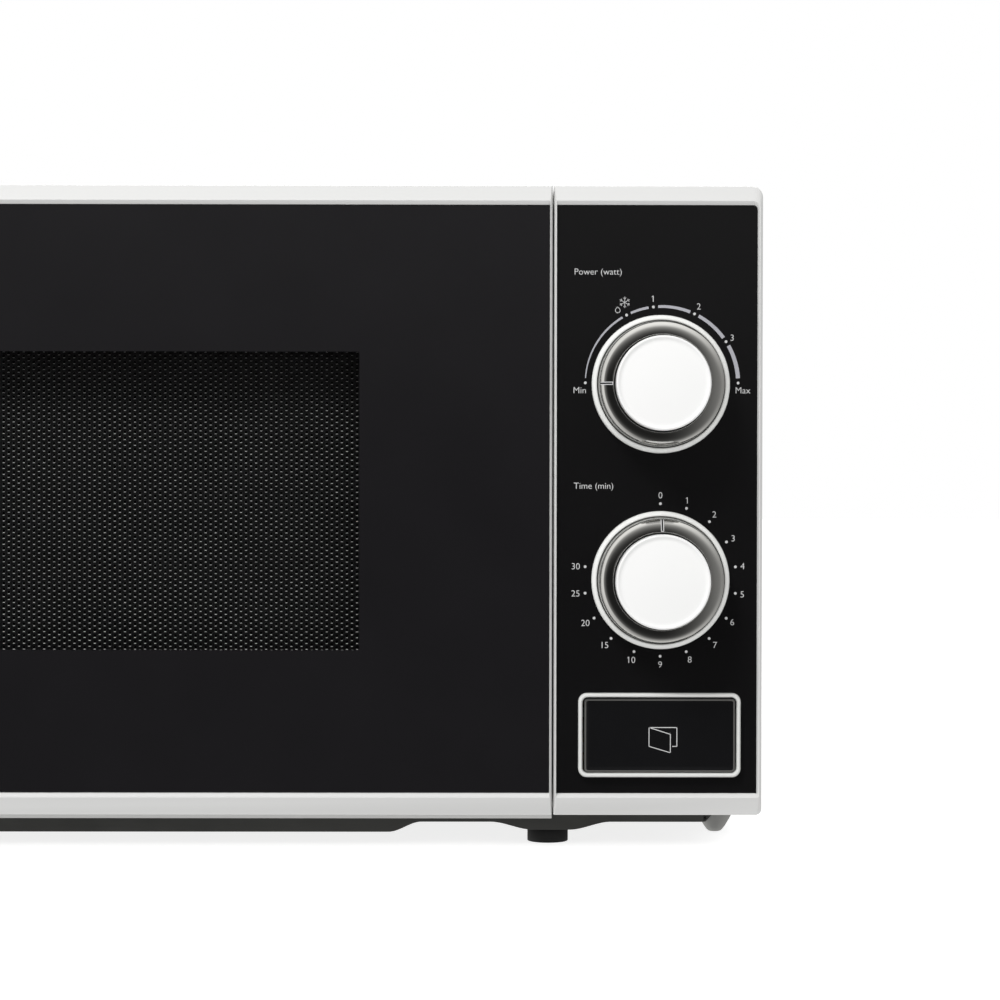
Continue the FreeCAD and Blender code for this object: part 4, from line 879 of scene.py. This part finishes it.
# raised hoods over the louvres
b = Build()
for s in (1, -1):
    for r in range(14):
        for c in range(3):
            u0, w0 = 60 + 36 * c - 0.4, 60 + 9 * r + 3.2
            sx_ = CH if s > 0 else -CH
            v, f = [], []
            for k in range(7):
                a = math.radians(15 * k)
                out = 0.75 * math.sin(a) * s
                zz = w0 + 1.7 - 2.4 * (1 - math.cos(a))
                v += [(sx_ + out - 0.02 * s, u0 + 0.9 * (math.sin(a) if k else 0), zz), (sx_ + out - 0.02 * s, u0 + 26.8 - 0.9 * (math.sin(a) if k else 0), zz)]
            for k in range(6):
                f.append((2 * k, 2 * k + 1, 2 * k + 3, 2 * k + 2))
            base = len(v)
            v += [(x - 0.35 * s, y, z - 0.15) for x, y, z in v[:base]]
            for k in range(6):
                f.append((base + 2 * k, base + 2 * k + 2, base + 2 * k + 3, base + 2 * k + 1))
                f.append((2 * k, 2 * k + 2, base + 2 * k + 2, base + 2 * k))
                f.append((2 * k + 1, base + 2 * k + 1, base + 2 * k + 3, 2 * k + 3))
            f += [(0, base, base + 1, 1), (12, 13, base + 13, base + 12)]
            b.add(v, f)
hoods = b.done("cabinet_louvre_lips", ["cabinet"], "chassis", slot="cabinet_white")

# --- rear panel
b = Build()
loft(b, [(-225.0, 225.0, 9.6, 261.0, 2.0, 174.5), (-225.0, 225.0, 9.6, 261.0, 2.0, 175.2), (-224.8, 224.8, 9.8, 260.8, 2.0, 175.4)], closed=False, cap0=True, cap1=True, n=4)
rear = b.done("rear_cover", ["zinc"], "chassis", slot="galvanised_steel")
cut2 = Build()
for c in range(3):
    for r in range(11):
        capsule(cut2, "y", 172, 178, 130 + 27 * c, 152 + 27 * c, 150 + 8 * r, 153.4 + 8 * r)
    for r in range(5):
        capsule(cut2, "y", 172, 178, -200 + 27 * c, -178 + 27 * c, 200 + 8 * r, 203.4 + 8 * r)
cut2.lathe((190, 60), "y", [(0, 172), (8.1, 172), (8.1, 178), (0, 178)], seg=40)
slots_cut(rear, [cutter("cut_d", cut2)])
finish_mesh(rear, 35)
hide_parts("rear_panel")
# pressed ribs, wall spacers
b = Build()


def ridge(x0, x1, z0, z1, y, height, r=4):
    loft(b, [(x0, x1, z0, z1, r, y), (x0 + 0.5, x1 - 0.5, z0 + 0.5, z1 - 0.5, r - 0.4, y + height * 0.45), (x0 + 1.3, x1 - 1.3, z0 + 1.3, z1 - 1.3, r - 1.0, y + height * 0.9),
             (x0 + 2.2, x1 - 2.2, z0 + 2.2, z1 - 2.2, max(0.3, r - 1.8), y + height)], closed=False, cap1=True, n=5)


ridge(-90, 70, 96, 106, 175.35, 1.2)
ridge(-90, 70, 60, 70, 175.35, 1.2)
ridge(-190, -180, 40, 120, 175.35, 1.2)
for x in (-150, 110):
    ridge(x, x + 40, 150, 164, 175.35, 6.6, r=5)
b.done("rear_pressings", ["zinc"], "chassis", slot="galvanised_steel")

# --- screws with cross recesses
b = Build()
for x, z in ((-217, 250), (-217, 130), (-217, 24), (217, 250), (217, 130), (217, 24), (-80, 254), (60, 254)):
    b.lathe((x, z), "y", [(0, 177.5), (0.7, 177.55), (2.0, 177.35), (3.1, 176.8), (3.55, 176.2), (3.6, 175.45), (0, 175.45)], seg=32, closed=False)
screws = b.done("case_screw_heads", ["bright_zinc"], "chassis", slot="hinge_steel")
cut3 = Build()
for x, z in ((-217, 250), (-217, 130), (-217, 24), (217, 250), (217, 130), (217, 24), (-80, 254), (60, 254)):
    cut3.box(x - 1.9, x + 1.9, 176.5, 178.5, z - 0.35, z + 0.35)
cut4 = Build()
for x, z in ((-217, 250), (-217, 130), (-217, 24), (217, 250), (217, 130), (217, 24), (-80, 254), (60, 254)):
    cut4.box(x - 0.35, x + 0.35, 176.5, 178.5, z - 1.9, z + 1.9)
slots_cut(screws, [cutter("cut_e", cut3), cutter("cut_f", cut4)])
finish_mesh(screws, 35)
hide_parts("case_screws")

# --- gland
b = Build()
b.lathe((190, 60), "y", [(3.6, 171.9), (7.9, 171.9), (7.9, 175.3), (11.0, 175.45), (11.0, 177.2), (10.6, 178.0), (9.6, 178.6), (6.6, 179.2), (4.4, 179.3), (3.6, 178.8)], seg=56)
gland = b.done("inlet_grommet", ["rubber"], "chassis", smooth_deg=40, slot="foot_rubber")
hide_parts("cable_gland")

# --- base plate: one pressed sheet with soft transitions, an upturned front edge, a pan, a rib and a rounded stop
def ease(t):
    t = min(1.0, max(0.0, t))
    return t * t * (3 - 2 * t)


def base_z(x, y):
    pan = ease((x + 209) / 9) * (1 - ease((x - 79) / 13))
    rib = ease((x - 120) / 17) * (1 - ease((x - 152) / 16.5))
    corner = ease((x - 206.5) / 4) * ease((-86 - y) / 10)
    return 8.9 - 4.1 * pan - 3.2 * rib + 3.8 * corner


def lines(lo, hi, step, extra=()):
    n_ = int(round((hi - lo) / step))
    out_ = [lo + (hi - lo) * i / n_ for i in range(n_ + 1)]
    for e in extra:
        k = min(range(len(out_)), key=lambda i: abs(out_[i] - e))
        out_[k] = e
    return sorted(set(out_))


def sheet(name, xs, ys, zf, thick, mats, body, hole=lambda x, y: False, warp=lambda x, y: x, smooth_deg=40):
    """A sheet as a grid of small facets, with real thickness and real holes."""
    nx, ny = len(xs), len(ys)
    v, f = [], []
    for up in (0, 1):
        for y in ys:
            for x in xs:
                v.append((warp(x, y), y, zf(x, y) + up * thick))

    def on(i, j):
        return 0 <= i < nx - 1 and 0 <= j < ny - 1 and not hole((xs[i] + xs[i + 1]) / 2, (ys[j] + ys[j + 1]) / 2)

    k = nx * ny
    for j in range(ny - 1):
        for i in range(nx - 1):
            if not on(i, j):
                continue
            a, c, d, e = j * nx + i, j * nx + i + 1, (j + 1) * nx + i + 1, (j + 1) * nx + i
            f.append((a, e, d, c))
            f.append((a + k, c + k, d + k, e + k))
            for di, dj, p, q in ((0, -1, a, c), (1, 0, c, d), (0, 1, d, e), (-1, 0, e, a)):
                if not on(i + di, j + dj):
                    f.append((p, q, q + k, p + k))
    ob = make(name, v, f, mats, body, smooth_deg=0, fix=False)
    bm = bmesh.new()
    bm.from_mesh(ob.data)
    bmesh.ops.delete(bm, geom=[w for w in bm.verts if not w.link_faces], context="VERTS")
    bm.to_mesh(ob.data)
    bm.free()
    return finish_mesh(ob, smooth_deg)


# The base sheet and its front edge take the darkened steel: painted shade for the underside.
bx = lines(-223.5, 223.5, 1.5, [140 + 12 * i + d for i in range(6) for d in (0, 6)])
by = lines(-125.2, -96, 1.3) + lines(-90, 173.8, 8.0, (60, 100))[0:]
base = sheet("base_plate_pressing", bx, by, base_z, 0.8, ["base_steel"], "chassis",
             hole=lambda x, y: 60 < y < 100 and any(140 + 12 * i < x < 146 + 12 * i for i in range(6)),
             warp=lambda x, y: min(x, 219.4 + 4.1 * ease((y + 108) / 22)) if x > 219.3 else x)
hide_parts("base_plate")
b = Build()
fxs = [x for x in bx if x <= 206.2]
v = []
for x in fxs:
    top_z = 10.45 if x < 137.8 else 12.6
    v += [(x, -126.0, base_z(x, -125.2) + 0.35), (x, -125.75, base_z(x, -125.2)), (x, -125.2, base_z(x, -125.2) + 0.0), (x, -125.2, top_z), (x, -126.0, top_z)]
f = []
for i in range(len(fxs) - 1):
    for k in range(5):
        f.append((5 * i + k, 5 * i + (k + 1) % 5, 5 * i + 5 + (k + 1) % 5, 5 * i + 5 + k))
f += [(4, 3, 2, 1, 0), tuple(5 * (len(fxs) - 1) + k for k in range(5))]
b.add(v, f)
b.done("base_plate_front_edge", ["base_steel"], "chassis", smooth_deg=40, slot="galvanised_steel")
# The corner stop takes the lighter copy of the base steel: painted light.
b = Build()
b.lathe((211.0, -118.0), "z", [(0, 4.3), (1.8, 4.32), (2.5, 4.55), (3.2, 5.15), (4.2, 6.5), (5.3, 8.3), (6.4, 10.2), (7.6, 12.6), (0, 12.6)], seg=48, closed=False)
b.done("base_corner_stop", ["base_stop"], "chassis", smooth_deg=60, slot="galvanised_steel")

# --- door inside: moulded choke cover with a stepped edge, and a raised bead round the pane
b = Build()
loft(b, [(-208, 129, 21, 246, 3.5, -132.6), (-208, 129, 21, 246, 3.5, -131.3), (-207.6, 128.6, 21.4, 245.6, 3.3, -130.9), (-206.6, 127.6, 22.4, 244.6, 3.0, -130.65),
         (-199, 120, 30, 237, 2.6, -130.62), (-198.2, 119.2, 30.8, 236.2, 2.4, -131.0), (-196.4, 117.4, 32.6, 234.4, 2.2, -131.0), (-195.6, 116.6, 33.4, 233.6, 2.0, -130.62),
         (-176.5, 94.5, 57.5, 220.5, 4.0, -130.62), (-175.4, 93.4, 58.6, 219.4, 3.8, -130.75), (-172.4, 90.4, 61.6, 216.4, 3.4, -131.9), (-172, 90, 62, 216, 3.2, -132.2), (-172, 90, 62, 216, 3.2, -132.6)], n=6)
choke_cover = b.done("choke_cover_moulding", ["choke"], "door", smooth_deg=35, slot="choke_grey")
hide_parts("choke_cover")

# --- oven inside: pressings and weld marks that a plain box lacks
b = Build()
b.lathe((-41, 22), "z", [(104.6, 35.45), (105.0, 35.7), (105.8, 36.1), (106.8, 36.25), (107.8, 36.1), (108.6, 35.7), (109.0, 35.45)], seg=160, closed=False)
b.lathe((-41, 22), "z", [(26.0, 35.45), (26.3, 35.75), (27.0, 36.05), (28.0, 36.1), (29.0, 35.9), (29.8, 35.45)], seg=96, closed=False)
b.done("oven_floor_pressings", ["enamel"], "chassis", smooth_deg=50, slot="cavity_enamel")
b = Build()
for x0, x1, z0, z1 in ((-160, 78, 70, 214),):
    loft(b, [(x0, x1, z0, z1, 12, 172.02), (x0 + 1.2, x1 - 1.2, z0 + 1.2, z1 - 1.2, 11, 171.3), (x0 + 3.0, x1 - 3.0, z0 + 3.0, z1 - 3.0, 10, 171.0), (x0 + 4.8, x1 - 4.8, z0 + 4.8, z1 - 4.8, 9, 171.3),
             (x0 + 6, x1 - 6, z0 + 6, z1 - 6, 8, 172.02)], closed=False, n=10)
b.done("oven_rear_bead", ["enamel"], "chassis", smooth_deg=50, slot="cavity_enamel")
# folded hems where the oven walls meet the front plate
b = Build()
for x0, x1, z0, z1 in ((-194.0, 112.0, 35.5, 243.5),):
    loft(b, [(x0, x1, z0, z1, 0.3, -128.3), (x0 - 0.9, x1 + 0.9, z0 - 0.9, z1 + 0.9, 0.9, -128.45), (x0 - 1.8, x1 + 1.8, z0 - 1.8, z1 + 1.8, 1.6, -128.25)], closed=False, n=5)
b.done("oven_mouth_hem", ["front_plate"], "chassis", smooth_deg=60, slot="cabinet_white")
b = Build()
for i in range(8):
    for z in (28.6, 250.6):
        x = -178 + 39.4 * i
        b.lathe((x, z), "y", [(0, -128.36), (1.0, -128.36), (1.5, -128.3), (1.9, -128.15)], seg=20, closed=False)
for i in range(5):
    for x in (-204.5, 121.2):
        z = 52 + 42 * i
        b.lathe((x, z), "y", [(0, -128.36), (1.0, -128.36), (1.5, -128.3), (1.9, -128.15)], seg=20, closed=False)
b.done("front_plate_weld_marks", ["front_plate"], "chassis", smooth_deg=60, slot="cabinet_white")


# --- feet
b = Build()
for x, y, hh in ((143.3, -115, 5.7), (143.3, 150, 5.7), (-150, -115, 4.8), (-150, 150, 4.8)):
    b.lathe((x, y), "z", [(0, 0.6), (2.6, 0.6), (3.0, 0.0), (7.9, 0.0), (8.13, 0.1), (8.25, 0.4), (8.25, 1.6), (8.25, hh - 0.5), (8.0, hh), (2.5, hh), (2.5, hh + 4.4), (0, hh + 4.4)], seg=64, closed=False)
feet = b.done("rubber_feet", ["rubber"], "chassis", smooth_deg=40, slot="foot_rubber")
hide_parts("feet")

# =============================================================================
# Finishes for the CAD parts that stay
# =============================================================================
FINISH = {
    "cavity_front_plate": "front_plate", "cavity_wrap": "enamel", "cavity_floor": "enamel", "cavity_rear_wall": "enamel",
    "waveguide": "bright_zinc", "waveguide_cover": "mica", "magnetron_yoke": "bright_zinc", "magnetron_anode": "fins", "transformer_core": "core",
    "transformer_windings": "copper", "hv_capacitor": "blue", "capacitor_clamp": "zinc", "hv_diode": "dark", "fan_housing": "nylon", "fan_motor": "core",
    "fan_blade": "grey_nylon", "cavity_lamp": "bulb", "thermal_cutouts": "dark", "noise_filter_board": "board", "power_shaft": "steel_wire", "timer_shaft": "steel_wire",
    "timer_body": "grey_nylon", "power_selector": "grey_nylon", "button_spring": "steel_wire", "release_lever": "nylon", "latch_board": "nylon", "microswitches": "dark",
    "door_choke_frame": "door_steel", "door_inner_pane": "pane", "latch_hooks": "nylon", "latch_spring": "steel_wire",
    "hinge_brackets": "bright_zinc", "hinge_pins": "steel_wire", "turntable_motor": "bright_zinc", "drive_coupler": "nylon", "glass_turntable": "tray",
    "roller_ring": "nylon", "roller_1": "nylon", "roller_2": "nylon", "roller_3": "nylon", "wiring_harness": "dark",
}
for node, key in FINISH.items():
    ob = NODES[node]
    ob.data.materials.clear()
    ob.data.materials.append(MAT[key])

# =============================================================================
# Floor, lights and background
# =============================================================================
me = bpy.data.meshes.new("floor")
S = 6.0
me.from_pydata([(-S, -S, 0), (S, -S, 0), (S, S, 0), (-S, S, 0)], [], [(0, 1, 2, 3)])
me.materials.append(MAT["floor"])
floor = bpy.data.objects.new("floor", me)
floor.location = (0, 0, -0.0002)
floor.visible_glossy = False  # keeps the black glass from mirroring the table top
floor.visible_diffuse = False  # and the underside dark, as if the table were flagged off
bpy.context.scene.collection.objects.link(floor)
floor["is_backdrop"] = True
MAT["floor"].node_tree.nodes["Principled BSDF"].inputs["Emission Color"].default_value = (1, 1, 1, 1)
MAT["floor"].node_tree.nodes["Principled BSDF"].inputs["Emission Strength"].default_value = 0.80


def area(name, pos, target, size, power, color=(1, 1, 1), size_y=None):
    d = bpy.data.lights.new(name, "AREA")
    d.shape = "RECTANGLE"
    d.size = size
    d.size_y = size_y or size
    d.energy = power
    d.color = color
    ob = bpy.data.objects.new(name, d)
    ob.location = pos
    ob.rotation_euler = (Vector(target) - Vector(pos)).to_track_quat("-Z", "Y").to_euler()
    bpy.context.scene.collection.objects.link(ob)
    return ob


key = area("key_top_left", (-0.55, -1.05, 1.60), (0.08, -0.16, 0.13), 0.50, 18.0)
key.visible_glossy = False
area("back_top", (0.3, 1.7, 1.5), (0, 0, 0.1), 1.4, 7)

world = bpy.data.worlds.new("studio")
world.use_nodes = True
bpy.context.scene.world = world
nt = world.node_tree
nt.nodes.clear()
out = nt.nodes.new("ShaderNodeOutputWorld")
tc = nt.nodes.new("ShaderNodeTexCoord")
sep = nt.nodes.new("ShaderNodeSeparateXYZ")
nt.links.new(tc.outputs["Generated"], sep.inputs[0])
DX, DY, DZ = sep.outputs["X"], sep.outputs["Y"], sep.outputs["Z"]


def ramp(src, a, b_, c, d):
    k = nt.nodes.new("ShaderNodeMapRange")
    k.interpolation_type = "SMOOTHSTEP"
    for key_, val in (("From Min", a), ("From Max", b_), ("To Min", c), ("To Max", d)):
        k.inputs[key_].default_value = val
    nt.links.new(src, k.inputs["Value"])
    return k.outputs["Result"]


def calc(op, a, c):
    k = nt.nodes.new("ShaderNodeMath")
    k.operation = op
    for i, t in enumerate((a, c)):
        if isinstance(t, (int, float)):
            k.inputs[i].default_value = t
        else:
            nt.links.new(t, k.inputs[i])
    return k.outputs[0]


def curve(src, stops):
    """Brightness along the angle away from the front: stops are (degrees off the front axis, strength)."""
    k = nt.nodes.new("ShaderNodeValToRGB")
    e = k.color_ramp.elements
    pts = [((1 - math.cos(math.radians(d))) / 2, v) for d, v in stops]
    e[0].position, e[1].position = pts[0][0], pts[-1][0]
    e[0].color, e[1].color = (pts[0][1],) * 3 + (1,), (pts[-1][1],) * 3 + (1,)
    for p, v in pts[1:-1]:
        q = e.new(p)
        q.color = (v, v, v, 1)
    nt.links.new(src, k.inputs["Fac"])
    return k.outputs["Color"]


def background(color, strength):
    k = nt.nodes.new("ShaderNodeBackground")
    k.inputs["Color"].default_value = (*color, 1)
    if isinstance(strength, (int, float)):
        k.inputs["Strength"].default_value = strength
    else:
        nt.links.new(strength, k.inputs["Strength"])
    return k.outputs[0]


def choose(fac, a, c):
    k = nt.nodes.new("ShaderNodeMixShader")
    nt.links.new(fac, k.inputs[0])
    nt.links.new(a, k.inputs[1])
    nt.links.new(c, k.inputs[2])
    return k.outputs[0]


# Reflections: a white sweep behind the oven, a dark studio in front of it, an overhead bank, and a grey wall at the right
off = calc("MULTIPLY", calc("ADD", DY, 1.0), 0.5)
side2 = calc("ADD", calc("MULTIPLY", DX, DX), calc("ADD", calc("MULTIPLY", DZ, DZ), 1e-5))


def share(d, sign):
    p = calc("MAXIMUM", calc("MULTIPLY", d, sign), 0.0)
    return calc("DIVIDE", calc("MULTIPLY", p, p), side2)


top = curve(off, [(0, 0.018), (12, 0.020), (18, 0.027), (27, 0.046), (33, 0.069), (41, 0.10), (48, 0.155), (54, 0.21), (61, 0.31), (68, 0.46), (74, 0.74), (80, 1.05), (88, 1.25), (100, 1.2), (180, 1.1)])
left = curve(off, [(0, 0.015), (50, 0.020), (56, 0.028), (61, 0.05), (66, 0.12), (71, 0.18), (75, 0.36), (79, 1.0), (90, 0.85), (105, 0.9), (180, 1.1)])
right = curve(off, [(0, 0.02), (11, 0.02), (20, 0.16), (35, 0.175), (50, 0.20), (65, 0.22), (80, 0.26), (92, 0.34), (104, 0.30), (150, 0.5), (180, 0.9)])
bottom = curve(off, [(0, 0.015), (15, 0.032), (23, 0.026), (30, 0.020), (45, 0.022), (58, 0.030), (64, 0.041), (70, 0.058), (77, 0.12), (83, 0.27), (89, 0.48), (95, 0.72), (120, 0.80), (180, 0.95)])
glossy = calc("ADD", calc("ADD", calc("MULTIPLY", top, share(DZ, 1.0)), calc("MULTIPLY", bottom, share(DZ, -1.0))),
              calc("ADD", calc("MULTIPLY", left, share(DX, -1.0)), calc("MULTIPLY", right, share(DX, 1.0))))
strip = calc("MULTIPLY", calc("MULTIPLY", ramp(DZ, -0.03, 0.11, 0.10, 1.0), ramp(DZ, 0.16, 0.26, 1.0, 0.0)), ramp(DY, -0.97, -0.90, 0.14, 0.0))
glossy = calc("ADD", glossy, strip)
diffuse = calc("MULTIPLY", ramp(DZ, -0.35, 0.35, 0.90, 0.66), ramp(DX, -0.9, 0.9, 1.05, 1.02))
lp = nt.nodes.new("ShaderNodeLightPath")
lit = choose(lp.outputs["Is Glossy Ray"], background((1, 1, 1), diffuse), background((1.0, 0.995, 0.975), glossy))
full = choose(lp.outputs["Is Camera Ray"], lit, background((1, 1, 1), 1.0))
nt.links.new(full, out.inputs["Surface"])
bpy.context.scene.view_settings.view_transform = "Standard"

lo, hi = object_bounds()
